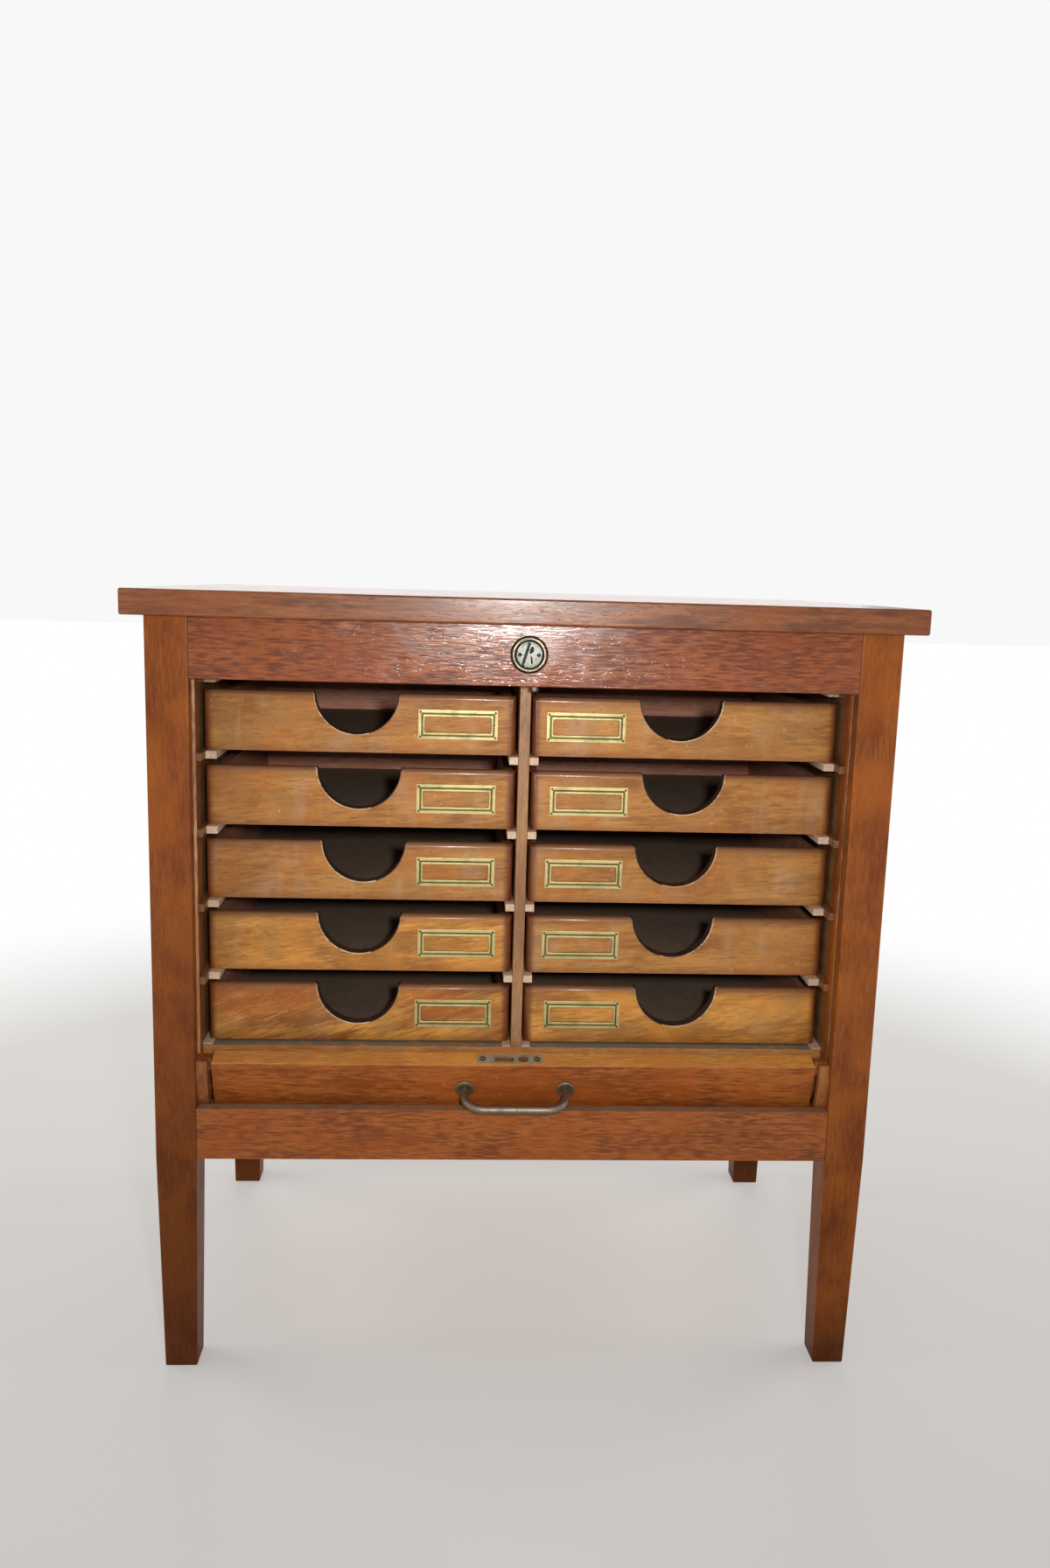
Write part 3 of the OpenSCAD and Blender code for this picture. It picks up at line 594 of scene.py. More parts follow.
# the notch rim's pale edge: wear, and a painted highlight where it faces the lamp
worn_lit_rim_finish = wood("notch_rim_wear_and_highlight", 0, (0.80, 0.60, 0.42), (0.36, 0.16, 0.07), ticks=3.0,
                      gloss=0.6, coat=0.0)
box_finish = wood("tray_box_wood", 0, (0.62, 0.290, 0.190), (0.40, 0.160, 0.105), clouds=0.9,
                  gloss=0.42, coat=0.1, dust=0.2, scuffs=0.1)
bottom_finish = wood("tray_bottom_ply", 1, (0.34, 0.190, 0.140), (0.21, 0.110, 0.080), gloss=0.6,
                     coat=0.0, dust=0.6)
# painted shade on the sawn wall of the cut-out and on the far part of its rim
notch_shade_finish = wood("notch_shade", 1, (0.100, 0.050, 0.030), (0.045, 0.022, 0.014), gloss=0.6,
                   coat=0.0)
ODD_FRONTS = {"left_4": golden_finish, "left_5": figured_finish, "right_5": golden_finish}


def notch_cutter(x, y, top):
    """The finger cut-out as a solid: a half round whose two upper corners are eased."""
    away = math.sqrt((NOTCH_RADIUS + NOTCH_EASE) ** 2 - NOTCH_EASE ** 2)
    lean = math.acos(NOTCH_EASE / (NOTCH_RADIUS + NOTCH_EASE))
    bpy.ops.object.select_all(action="DESELECT")
    bpy.ops.mesh.primitive_plane_add(size=0.001, location=(x + away, y, top))
    set_in_place(bpy.context.object)
    bpy.context.tool_settings.mesh_select_mode = (True, False, False)
    bpy.ops.object.mode_set(mode="EDIT")
    bpy.ops.mesh.select_all(action="SELECT")
    bpy.ops.mesh.merge(type="CENTER")
    # its outline: one corner, the half round and the other corner, then up and across
    bpy.ops.mesh.spin(steps=6, angle=lean, center=(x + away, y, top - NOTCH_EASE), axis=(0, 1, 0))
    bpy.ops.mesh.spin(steps=60, angle=-2 * lean, center=(x, y, top), axis=(0, 1, 0))
    bpy.ops.mesh.spin(steps=6, angle=lean, center=(x - away, y, top - NOTCH_EASE), axis=(0, 1, 0))
    bpy.ops.mesh.extrude_vertices_move(TRANSFORM_OT_translate={"value": (0, 0, 0.01)})
    bpy.ops.mesh.extrude_vertices_move(TRANSFORM_OT_translate={"value": (2 * away, 0, 0)})
    bpy.ops.mesh.select_all(action="SELECT")
    bpy.ops.mesh.edge_face_add()
    bpy.ops.mesh.extrude_region_move(TRANSFORM_OT_translate={"value": (0, 0.04, 0)})
    bpy.ops.mesh.select_all(action="SELECT")
    bpy.ops.mesh.normals_make_consistent(inside=False)
    return done()


def tray_front(tray, notch_off):
    """The front of a tray, with its finger cut-out. Its rim is pale towards the lamp, wear and a
    painted highlight, and the sawn wall and the far part of the rim get painted shade.
    """
    low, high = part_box("tray_front_" + tray)
    front = block("front_" + tray, low, high)

    def rounded(middle, way):
        upper = middle.z > high.z - 0.0001 and abs(way.x) > 0.5 * way.length
        ends = middle.y < low.y + 0.0001 and abs(way.z) > 0.5 * way.length
        return upper or ends

    soften(front, ROUND_OVER, rounded, segments=6)
    soften(front, 0.0004, lambda middle, way: max(middle.z - low.z, middle.y - low.y) < 0.0001)
    notch_x = (low.x + high.x) / 2 + notch_off
    cut_away(front, notch_cutter(notch_x, low.y - 0.01, high.z))

    def on_notch(spot):
        across, down = abs(spot.x - notch_x), high.z - spot.z
        corner = math.hypot(across - NOTCH_RADIUS - NOTCH_EASE, down - NOTCH_EASE)
        on_round = abs(math.hypot(across, down) - NOTCH_RADIUS) < 0.0003
        by_corner = down < NOTCH_EASE and across < NOTCH_RADIUS + NOTCH_EASE
        return on_round or by_corner and abs(corner - NOTCH_EASE) < 0.0003

    def notch_rim(middle, way):
        in_front = middle.y < (low.y + high.y) / 2
        return in_front and on_notch(middle) and abs(way.y) < 0.9 * way.length

    paint(front, (tray_finish, worn_lit_rim_finish, notch_shade_finish),
          lambda centre, normal: 2 * on_notch(centre))
    soften(front, NOTCH_CHIP, notch_rim, segments=2, finish=1, clamp=False)
    # the rim keeps its pale edge, wear and painted highlight, on the side that faces the lamp and a
    # little past the middle; beyond that it gets painted shade
    lit_side = math.copysign(1, notch_x)
    for face in front.data.polygons:
        if face.material_index == 1 and (notch_x - face.center.x) * lit_side > LIT_RIM_TO:
            face.material_index = 2
    return smooth(front, 40)


def tray_box():
    """Two sides, a back between them, and a thin bottom let in a little above their edges."""
    corners = boards_of("tray_box_left_1")
    box = planed_boards("tray_shell", corners, arris=0.0008)
    thin = min(high.z for low, high in corners) + 0.0001
    paint(box, (box_finish, bottom_finish),
          lambda centre, normal: abs(normal.z) > 0.9 and centre.z < thin)
    return box


def moved_copy(piece, name, shift):
    """A copy with its own mesh, moved to its place."""
    copy = piece.copy()
    copy.data = piece.data.copy()
    copy.name = name
    bpy.context.scene.collection.objects.link(copy)
    return set_in_place(copy, shift)


shell = tray_box()
shell_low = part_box("tray_box_left_1")[0]
for tray, notch_off in zip(TRAYS, NOTCH_OFF):
    finishes = [ODD_FRONTS.get(tray, tray_finish), worn_lit_rim_finish, notch_shade_finish]
    fit(tray_front(tray, notch_off), finishes, "tray_" + tray, "tray_wood", "tray_front_" + tray)
    box = moved_copy(shell, "box_" + tray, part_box("tray_box_" + tray)[0] - shell_low)
    fit(box, [box_finish, bottom_finish], "tray_" + tray, "box_wood", "tray_box_" + tray)
bpy.data.objects.remove(shell)


# ---- Label frames ----
# Small stamped frames of brass, with a raised rim round an open window and a pin in each corner.
# They are dull in their corners and bright where hands and cloths have rubbed them.
def metal(name, bright, dull, rough=0.22, spots=0.5, scale=1.0, metallic=1.0):
    """Old metal: bright where it is rubbed, dull and spotted where it isn't. A lower metallic
    keeps its colour where nothing pale is mirrored in it."""
    finish, shader, place, _ = new_finish(name, Metallic=metallic)
    film = place.noise(60 * scale, 5, 0.5).step(0.42, 0.72)
    spot = place.noise(420 * scale, 4).step(0.58, 0.68)
    tarnish = film * 0.55 + spot * spots
    aged = tarnish.math("MINIMUM", tarnish, 1.0)
    scratches = place.stretched((1400, 400, 1400)).noise(1.0, 2)
    bump = scratches.node("ShaderNodeBump", {"Strength": 0.2, "Distance": 0.00008,
                                             "Height": scratches + film * 0.8})
    rough = aged * 0.2 + scratches * 0.08 + (rough - 0.04)
    connect(shader, Base_Color=aged.mix(bright, dull), Roughness=rough, Normal=bump)
    return finish


brass_finish = metal("old_brass", (0.57, 0.465, 0.19), (0.32, 0.255, 0.09), 0.42, 0.4, metallic=0.5)
dull_brass = metal("dull_brass", (0.110, 0.088, 0.022), (0.045, 0.035, 0.012), 0.46, 0.8,
                   metallic=0.3)
RIM_HEIGHT = 0.001
FLANGE = 0.0008
BAND = 0.0024
CHANNEL = 0.0015
CHANNEL_HALF_WIDE = 0.0345
CHANNEL_HALF_TALL = 0.0122
WINDOW_HALF_WIDE = 0.030
WINDOW_HALF_TALL = 0.0071
PIN_RADIUS = 0.0011
PIN_IN = 0.0021


def label_frame():
    """The frame of the first tray: a flange, its raised rim, the window cut through, and pins."""
    low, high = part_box("label_frame_left_1")
    centre = (low + high) / 2
    back = high.y
    plate = soften(block("label", (low.x, back - FLANGE, low.z), (high.x, back, high.z)), 0.00035)
    # flange, then a sunk channel in which the dirt sits, then the raised rim
    edit(plate, faces=lambda middle, normal: normal.y < -0.99)
    bpy.ops.mesh.inset(thickness=BAND, depth=0)
    bpy.ops.mesh.extrude_region_move(TRANSFORM_OT_translate={"value": (0, FLANGE / 3, 0)})
    bpy.ops.mesh.inset(thickness=CHANNEL, depth=0)
    bpy.ops.mesh.extrude_region_move(
        TRANSFORM_OT_translate={"value": (0, -RIM_HEIGHT - FLANGE / 3, 0)})
    done()
    window = block("window",
                   (centre.x - WINDOW_HALF_WIDE, back - 0.01, centre.z - WINDOW_HALF_TALL),
                   (centre.x + WINDOW_HALF_WIDE, back + 0.01, centre.z + WINDOW_HALF_TALL))
    soften(window, 0.0016, lambda middle, way: abs(way.y) > 0.5 * way.length, segments=4)
    cut_away(plate, window)

    def rim_edges(middle, way):
        level = abs(way.y) < 0.3 * way.length and way.length > 1e-5
        return level and middle.y < back - FLANGE - 0.5 * RIM_HEIGHT

    def dirty(spot, normal):
        across, up = abs(spot.x - centre.x), abs(spot.z - centre.z)
        inside = across < CHANNEL_HALF_WIDE and up < CHANNEL_HALF_TALL
        return inside and back - FLANGE + 0.0001 < spot.y < back - FLANGE / 2

    soften(plate, 0.0007, rim_edges, segments=3)
    paint(plate, (brass_finish, dull_brass), dirty)
    pins = []
    for x in (low.x + PIN_IN, high.x - PIN_IN):
        for z in (low.z + PIN_IN, high.z - PIN_IN):
            pin = round_bar("pin", (x, back - FLANGE - 0.0002, z), PIN_RADIUS, 0.0008, sides=16)
            soften(pin, 0.0004, lambda middle, way: middle.y < back - FLANGE - 0.0005, segments=3)
            paint(pin, (brass_finish, dull_brass), lambda spot, normal: 1)
            pins.append(pin)
    return smooth(join("label", [plate, *pins]), 40)


label = label_frame()
label_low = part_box("label_frame_left_1")[0]
for tray in TRAYS:
    copy = moved_copy(label, "label_" + tray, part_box("label_frame_" + tray)[0] - label_low)
    fit(copy, [brass_finish, dull_brass], "tray_" + tray, "brass", "label_frame_" + tray)
bpy.data.objects.remove(label)


# ---- Lock ----
# A turned bronze ring let into the rail, and the nickel-faced plug of the lock inside it, held by
# two rivets and pierced for the key. The case and its bolt sit in the mortise behind.
bronze_finish = metal("dark_bronze", (0.070, 0.044, 0.022), (0.030, 0.018, 0.010), 0.34, 0.6)
worn_ring_finish = metal("rubbed_bronze", (0.26, 0.21, 0.14), (0.13, 0.095, 0.06), 0.34, 0.4)
nickel_finish = metal("worn_nickel", (0.105, 0.105, 0.09), (0.05, 0.045, 0.035), 0.30, 0.8)
# near black: the rivets' own dark metal, and painted shade in the slot, keyhole, ward slit and the
# gaps round the plug
grime_and_shade_black = metal("lock_grime_and_shade", (0.011, 0.011, 0.007), (0.005, 0.005, 0.003), 0.6, 0.5,
                     metallic=0.1)
RING_SIDES = 96
RIB_DEPTH = 0.0004
RIBS_FROM = 0.0150
BRONZE_FROM = 0.0141
RUBBED_FROM = 0.0130
KEYHOLE = ((0.0011, 0.0020, 0.0012), (0.0019, 0.0038, 0.0019), (0.0024, 0.0057, 0.0013))
RIVET_X = 0.0080


def turned(name, centre, profile, sides=RING_SIDES, closed=False):
    """A round piece turned about an axis along Y. Each step of the profile is a radius and how
    far it stands in front of the centre."""
    centre = Vector(centre)
    radius, proud = profile[0]
    bpy.ops.object.select_all(action="DESELECT")
    bpy.ops.mesh.primitive_circle_add(vertices=sides, radius=radius, rotation=(math.pi / 2, 0, 0),
                                      location=centre - Vector((0, proud, 0)))
    piece = bpy.context.object
    piece.name = name
    set_in_place(piece, turn=(math.pi / 2, 0, 0))
    bpy.context.tool_settings.mesh_select_mode = (False, True, False)
    bpy.ops.object.mode_set(mode="EDIT")
    bpy.ops.mesh.select_all(action="SELECT")
    if not closed:
        bpy.ops.mesh.edge_face_add()
    for wide, front in profile[1:]:
        bpy.ops.mesh.extrude_region_move(TRANSFORM_OT_translate={"value": (0, proud - front, 0)})
        bpy.ops.transform.resize(value=(wide / radius, 1, wide / radius), center_override=centre[:])
        radius, proud = wide, front
    bpy.ops.mesh.select_all(action="SELECT")
    bpy.ops.mesh.remove_doubles(threshold=0.00001)
    bpy.ops.mesh.normals_make_consistent(inside=False)
    return done()


lock_centre = (lock_x, rail_front, lock_z)
ring = turned("lock_bezel", lock_centre, [
    (0.01165, -0.0020), (0.0124, -0.0020), (0.0124, 0.0), (0.0165, 0.0), (0.0165, 0.0012),
    (0.0161, 0.0021), (0.0152, 0.0027), (0.0145, 0.0027), (0.0141, 0.0020), (0.0138, 0.0020),
    (0.0136, 0.0023), (0.0131, 0.0023), (0.0129, 0.0017), (0.0120, 0.0016), (0.01165, 0.0010),
    (0.01165, -0.0020)], closed=True)
# every second rib of its outer edge is pressed in
for vertex in ring.data.vertices:
    across = math.hypot(vertex.co.x - lock_x, vertex.co.z - lock_z)
    turn = math.atan2(vertex.co.z - lock_z, vertex.co.x - lock_x)
    if across > RIBS_FROM and round(turn / (2 * math.pi) * RING_SIDES) % 2:
        shrink = 1 - RIB_DEPTH / across
        vertex.co.x = lock_x + (vertex.co.x - lock_x) * shrink
        vertex.co.z = lock_z + (vertex.co.z - lock_z) * shrink


def ring_part(centre, normal):
    across = math.hypot(centre.x - lock_x, centre.z - lock_z)
    return 0 if across > BRONZE_FROM else 1 if across > RUBBED_FROM else 2


# the ring's inner step down to the plug is near black: grime and painted shade in the gap
ring_finishes = [bronze_finish, worn_ring_finish, grime_and_shade_black]
paint(ring, ring_finishes, ring_part)
fit(smooth(ring, 50), ring_finishes, "carcass", "bronze", "lock_ring")

plug = turned("key_plug", lock_centre, [
    (0.0080, -0.0120), (0.0080, -0.0012), (0.0113, -0.0012), (0.0113, 0.0012), (0.0109, 0.0016),
    (0.0098, 0.0016), (0.0096, 0.0014), (0.0001, 0.0014)])
# a slanting slot from edge to edge, a leaf-shaped keyhole and the thin ward slit below it
slot = block("key_slot", (-0.00125, rail_front - 0.005, -0.0108),
             (0.00125, rail_front + 0.0008, 0.0108))
set_in_place(slot, (-0.0029, 0, lock_z), (0, math.radians(16), 0))
cut_away(plug, slot)
for x, up, radius in KEYHOLE:
    cut_away(plug, round_bar("keyhole", (x, rail_front, lock_z + up), radius, 0.016, sides=24))
slit = block("ward_slit", (-0.0007, rail_front - 0.005, -0.0030),
             (0.0007, rail_front + 0.008, 0.0030))
cut_away(plug, set_in_place(slit, (0.0021, 0, lock_z - 0.0048), (0, math.radians(-5), 0)))
rivets = [turned("rivet", (side * RIVET_X, rail_front, lock_z - 0.0002), [
    (0.0016, 0.0), (0.0016, 0.0016), (0.0013, 0.0020), (0.0004, 0.0021)], sides=20)
    for side in (-1, 1)]
# the plug's sides and the walls of its slot, keyhole and slit get near black as painted shade
sunk_from = rail_front - 0.0012
paint(plug, (nickel_finish, grime_and_shade_black), lambda centre, normal: centre.y > sunk_from)
for rivet in rivets:
    paint(rivet, (nickel_finish, grime_and_shade_black), lambda centre, normal: 1)
fit(smooth(join("key_plug", [plug, *rivets]), 40), [nickel_finish, grime_and_shade_black], "lock_plug",
    "nickel", "lock_plug")

steel_finish = metal("lock_steel", (0.20, 0.17, 0.13), (0.07, 0.055, 0.04), 0.45, 0.6)
refinish(steel_finish, "lock_case", "lock_bolt")


# ---- Lead bar ----
# The bar that closes the shutter, parked and tilted behind the low rail. Its pins turn in blocks
# that run in the legs' grooves, and a brass strike is screwed into its top edge.
tilt_joint = next(joint for joint in frame["joints"] if joint["name"] == "bar_tilt")
pivot = Vector(tilt_joint["pos_m"])
park_tilt = -math.radians(min(tilt_joint["range_deg"]))
bar_finish = wood("bar_mahogany", 0, (0.460, 0.138, 0.028), (0.240, 0.058, 0.012), ticks=2.2,
                  clouds=1.2, gloss=0.42, coat=0.1)
bar_top_finish = wood("bar_top", 0, (0.88, 0.370, 0.062), (0.60, 0.220, 0.034), ticks=2.2,
                      gloss=0.45, coat=0.1, dust=0.2)
strike_finish = metal("strike_plate", (0.52, 0.49, 0.36), (0.26, 0.22, 0.14), 0.40, 0.4,
                      metallic=0.6)
BAR_TOP = 0.0055
BAR_FOOT = -0.0445
BAR_HALF = 0.277
BAR_FRONT = 0.010
BAR_BACK = 0.009
STRIKE_X = -0.0064
STRIKE_HALF = 0.03
STRIKE_HALF_DEEP = 0.0065
STRIKE_THICK = 0.002
BOLT_SLOT = ((-0.0204, -0.0035, -0.0075), (-0.0028, 0.0035, 0.02))
PIN_HOLE_X = 0.006
PIN_HOLE_RADIUS = 0.0048
PIVOT_RADIUS = 0.00255
SCREW_OUT = 0.025
SCREW_RADIUS = 0.0035
strike_low = (STRIKE_X - STRIKE_HALF, -STRIKE_HALF_DEEP, BAR_TOP - STRIKE_THICK)


def park(piece):
    """Leans a piece that was made upright about the pivot, as the parked bar leans."""
    return set_in_place(piece, pivot, (park_tilt, 0, 0))


bar = soften(block("shutter_bar", (-BAR_HALF, -BAR_FRONT, BAR_FOOT), (BAR_HALF, BAR_BACK, BAR_TOP)),
             0.0011, segments=3)
cut_away(bar, block("strike_bed", strike_low, (STRIKE_X + STRIKE_HALF, STRIKE_HALF_DEEP, 0.02)))
cut_away(bar, block("bolt_mortise", *BOLT_SLOT))
cut_away(bar, round_bar("pin_hole", (PIN_HOLE_X, 0, 0), PIN_HOLE_RADIUS, 0.015, turn=(0, 0, 0)))
for side in (-1, 1):
    cut_away(bar, round_bar("pivot_hole", (side * BAR_HALF, 0, 0), PIVOT_RADIUS, 0.026,
                            turn=(0, math.pi / 2, 0)))
paint(bar, (bar_finish, bar_top_finish),
      lambda centre, normal: normal.z > 0.9 and centre.z > BAR_TOP - 0.0005)
fit(smooth(park(bar)), [bar_finish, bar_top_finish], "lead_bar", "case_wood", "lead_bar")

strike = soften(block("strike", strike_low, (STRIKE_X + STRIKE_HALF, STRIKE_HALF_DEEP, BAR_TOP)),
                0.0003)
cut_away(strike, block("bolt_slot", *BOLT_SLOT))
cut_away(strike, round_bar("pin_slot", (PIN_HOLE_X, 0, 0.005), PIN_HOLE_RADIUS, 0.012,
                           turn=(0, 0, 0)))
fit(smooth(park(strike)), [strike_finish], "lead_bar", "brass", "strike_plate")

screws = []
for x in (STRIKE_X - SCREW_OUT, STRIKE_X + SCREW_OUT):
    screw = round_bar("screw", (x, 0, BAR_TOP - 0.0005), SCREW_RADIUS, 0.0013, sides=32,
                      turn=(0, 0, 0))
    soften(screw, 0.0003, lambda middle, way: middle.z > BAR_TOP)
    cut_away(screw, block("driver_slot", (x - 0.004, -0.00045, BAR_TOP - 0.0007),
                          (x + 0.004, 0.00045, 0.02)))
    screws.append(screw)
fit(smooth(park(join("strike_heads", screws))), [dull_brass], "lead_bar", "nickel", "strike_screws")
refinish(track_finish, "guide_shoes")


# ---- Pull handle ----
# A round rod bent twice, with a bronze-brown lacquer that is rubbed bright on the grip, and two
# turned roses where its legs enter the bar.
ROD = 0.0041
HANDLE_X = -0.001
HANDLE_SPAN = 0.093
HANDLE_OUT = 0.029
HANDLE_BEND = 0.018
HANDLE_Z = -0.0207
ROD_SUNK = 0.004
handle_finish = metal("brown_bronze", (0.27, 0.205, 0.15), (0.12, 0.085, 0.058), 0.44, 0.35)
rose_finish = metal("dark_roses", (0.27, 0.205, 0.13), (0.11, 0.08, 0.05), 0.40, 0.5, metallic=0.7)
bar_face = -BAR_FRONT
right_x = HANDLE_X + HANDLE_SPAN / 2
left_x = HANDLE_X - HANDLE_SPAN / 2
bend_at = bar_face - HANDLE_OUT + HANDLE_BEND
bpy.ops.object.select_all(action="DESELECT")
bpy.ops.mesh.primitive_circle_add(vertices=28, radius=ROD, rotation=(math.pi / 2, 0, 0),
                                  location=(right_x, bar_face + ROD_SUNK, HANDLE_Z))
handle = bpy.context.object
handle.name = "bent_handle"
set_in_place(handle, turn=(math.pi / 2, 0, 0))
bpy.context.tool_settings.mesh_select_mode = (False, True, False)
bpy.ops.object.mode_set(mode="EDIT")
bpy.ops.mesh.select_all(action="SELECT")
bpy.ops.mesh.edge_face_add()
bpy.ops.mesh.extrude_region_move(
    TRANSFORM_OT_translate={"value": (0, bend_at - bar_face - ROD_SUNK, 0)})
bpy.ops.mesh.spin(steps=12, angle=math.pi / 2, center=(right_x - HANDLE_BEND, bend_at, HANDLE_Z),
                  axis=(0, 0, 1))
bpy.ops.mesh.extrude_region_move(
    TRANSFORM_OT_translate={"value": (2 * HANDLE_BEND - HANDLE_SPAN, 0, 0)})
bpy.ops.mesh.spin(steps=12, angle=math.pi / 2, center=(left_x + HANDLE_BEND, bend_at, HANDLE_Z),
                  axis=(0, 0, 1))
bpy.ops.mesh.extrude_region_move(
    TRANSFORM_OT_translate={"value": (0, bar_face + ROD_SUNK - bend_at, 0)})
bpy.ops.mesh.select_all(action="SELECT")
bpy.ops.mesh.normals_make_consistent(inside=False)
fit(smooth(park(done()), 50), [handle_finish], "lead_bar", "bronze", "pull_handle")

roses = []
for x in (left_x, right_x):
    roses.append(turned("rose", (x, bar_face, HANDLE_Z), [
        (ROD, 0.0), (0.0086, 0.0), (0.0086, 0.0015), (0.0083, 0.0021), (0.0077, 0.0024),
        (0.0067, 0.0024), (0.0062, 0.0019), (0.0057, 0.0012), (ROD, 0.0010), (ROD, 0.0)],
        sides=48, closed=True))
fit(smooth(park(join("rod_roses", roses)), 50), [rose_finish], "lead_bar", "bronze", "handle_roses")


# ---- Shutter curtain ----
# Slats of mahogany glued to canvas. The open shutter lies round the bend and under the floor
# board. The part that shows when the front is closed is folded small behind the low rail, in
# such a way that the bar's full lift would draw it out to even slats.
SLAT_PITCH = 0.020
SLAT_GAP = 0.0008
SLAT_THICK = 0.007
SLAT_HALF = 0.277
TONGUE_HALF = 0.2889
CURTAIN_BEHIND = 0.013
FOLDED_TALL = 0.0350
slat_finish = wood("slat_mahogany", 0, (0.40, 0.125, 0.036), (0.20, 0.052, 0.016))
canvas_finish, canvas_shader, place, _ = new_finish("canvas", Roughness=0.9)
weave = place.stretched((1600, 1600, 1600)).noise(1.0, 1)
connect(canvas_shader, Base_Color=weave.mix((0.36, 0.30, 0.21), (0.62, 0.55, 0.42)))

fit(eased_copy("shutter_slats", "stored_slats", 0.0004), [slat_finish], "carcass", "case_wood",
    "shutter_slats")
refinish(canvas_finish, "shutter_canvas")

lift_joint = next(joint for joint in frame["joints"] if joint["name"] == "shutter_travel")
lift = -min(lift_joint["range_m"])
slat_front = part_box("front_leg_right")[0].y + CURTAIN_BEHIND
fold_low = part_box("bottom_front_rail")[0].z + 0.006
fold_high = fold_low + FOLDED_TALL
shown_top = pivot.z + lift + BAR_FOOT - 0.0005


def long_front_edges(middle, way):
    return middle.y < slat_front + 0.0001 and abs(way.x) > 0.5 * way.length


slats = []
top = shown_top
while top > fold_low + 0.004:
    foot = max(top - SLAT_PITCH + SLAT_GAP, fold_low)
    slat = block("slat", (-SLAT_HALF, slat_front, foot), (SLAT_HALF, slat_front + SLAT_THICK, top))
    soften(slat, 0.0022, long_front_edges, segments=3)
    tongue = block("tongue", (-TONGUE_HALF, slat_front + 0.0020, foot + 0.0005),
                   (TONGUE_HALF, slat_front + 0.0028, top - 0.0005))
    slats += [slat, tongue]
    top -= SLAT_PITCH
curtain = smooth(join("drawn_curtain", slats))


def folded(height):
    """The height at which a point waits, so that the drawn-out curtain holds it at height."""
    low, high = fold_low, fold_high
    for _ in range(50):
        middle = (low + high) / 2
        share = (middle - fold_low) / (fold_high - fold_low)
        if middle + share * share * (3 - 2 * share) * lift < height:
            low = middle
        else:
            high = middle
    return (low + high) / 2


for vertex in curtain.data.vertices:
    vertex.co.z = folded(vertex.co.z)
curtain.data.materials.clear()
curtain.data.materials.append(slat_finish)
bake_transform(curtain)


# ---- Floor, light and camera ----
# A plain pale floor that fades to white, soft studio light, and a small soft key lamp close to
# the camera, as a flash would stand.
FLOOR_COLOUR = (0.70, 0.67, 0.62, 1)
FADE_FROM = 0.55
FADE_TO = 1.6
bpy.ops.object.select_all(action="DESELECT")
bpy.ops.mesh.primitive_plane_add(size=30, location=(0, 0, 0))
floor = bpy.context.object
floor.name = "studio_floor"
floor_finish, floor_shader, place, _ = new_finish("studio_floor", Roughness=0.65)
away = place.node("ShaderNodeVectorMath", {0: place}, output=1, operation="LENGTH")
floor_shader.inputs["Base Color"].default_value = FLOOR_COLOUR
floor_nodes = floor_finish.node_tree.nodes
by_eye = Wire(floor_nodes.new("ShaderNodeLightPath").outputs["Is Camera Ray"])
white = place.node("ShaderNodeEmission", {"Color": (1, 1, 1, 1), "Strength": 1.0})
fade = away.step(FADE_FROM, FADE_TO)
fade = fade.math("MAXIMUM", fade, by_eye * 0.3)
blend = place.node("ShaderNodeMixShader", {0: fade, 1: Wire(floor_shader.outputs[0]), 2: white})
floor_finish.node_tree.links.new(blend.socket, floor_nodes["Material Output"].inputs[0])
floor.data.materials.append(floor_finish)

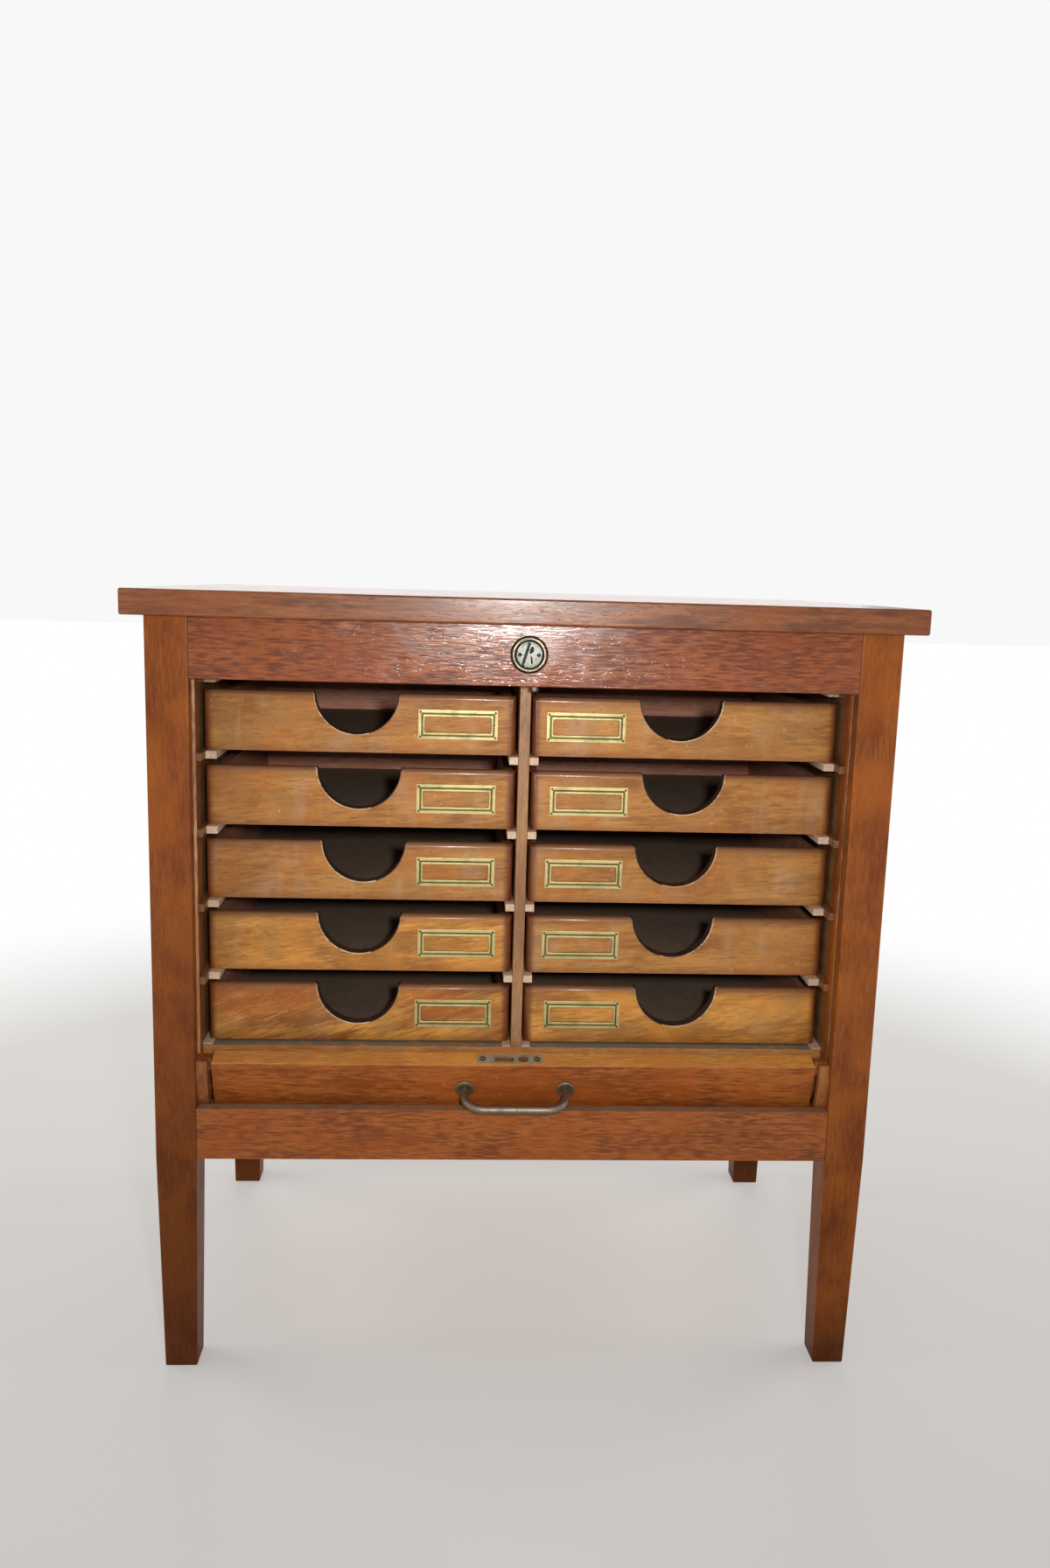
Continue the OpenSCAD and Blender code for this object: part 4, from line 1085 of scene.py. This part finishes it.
# the world is nearly white to the eye and paler in what it mirrors than in what it lights
SEEN = 0.94
MIRRORED = 0.55
AMBIENT = 0.22
scene = bpy.context.scene
scene.view_settings.view_transform = "Standard"
world = bpy.data.worlds.new("studio")
scene.world = world
world.use_nodes = True
background = world.node_tree.nodes["Background"]
rays = world.node_tree.nodes.new("ShaderNodeLightPath")
by_eye, glossy, through = (Wire(rays.outputs[f"Is {kind} Ray"])
                           for kind in ("Camera", "Glossy", "Transmission"))
seen = by_eye * (SEEN - AMBIENT) + (glossy + through) * (MIRRORED - AMBIENT) + AMBIENT
world.node_tree.links.new(seen.socket, background.inputs["Strength"])
background.inputs["Color"].default_value = (1, 1, 1, 1)


def lamp(name, place, target, size, power, spread=180):
    light = bpy.data.lights.new(name, "AREA")
    light.size = size
    light.energy = power
    light.spread = math.radians(spread)
    stand = bpy.data.objects.new(name, light)
    scene.collection.objects.link(stand)
    stand.location = place
    stand.rotation_euler = (Vector(target) - Vector(place)).to_track_quat("-Z", "Y").to_euler()
    return stand


KEY_LAMP = dict(place=(0.036, -1.26, 0.79), target=(0.0, -0.19, 0.60), size=0.06, power=1.5,
                spread=80)
lamp("key_lamp", **KEY_LAMP)
# a second gleam of the key lamp in the top rail's varnish, which lights nothing else
gleam = lamp("gleam_lamp", **KEY_LAMP)
gleam.visible_diffuse = False
gleam.light_linking.receiver_collection = bpy.data.collections.new("varnished_rail")
gleam.light_linking.receiver_collection.objects.link(top_rail)
lamp("fill_lamp", (-0.9, -1.6, 1.7), (0, 0, 0.35), 1.4, 3)
for side in (-1, 1):
    lamp("side_lamp", (side * 2.2, 0.3, 1.4), (0, 0.1, 0.35), 1.6, 22)
lamp("back_lamp", (0, 2.4, 1.5), (0, 0.2, 0.35), 2.5, 22)

CAMERA_PLACE = (-0.05626, -1.23926, 0.73825)
CAMERA_RIGHT = Vector((0.998437, -0.048263, 0.028193))
CAMERA_UP = Vector((-0.019680, 0.168558, 0.985495))
CAMERA_LENS = 28.04
camera_data = bpy.data.cameras.new("camera")
camera_data.lens = CAMERA_LENS
camera_data.sensor_width = 36
camera_data.clip_start = 0.01
camera = bpy.data.objects.new("camera", camera_data)
scene.collection.objects.link(camera)
turned_to = Matrix((CAMERA_RIGHT, CAMERA_UP, CAMERA_RIGHT.cross(CAMERA_UP))).transposed()
camera.matrix_world = Matrix.Translation(CAMERA_PLACE) @ turned_to.to_4x4()
scene.camera = camera
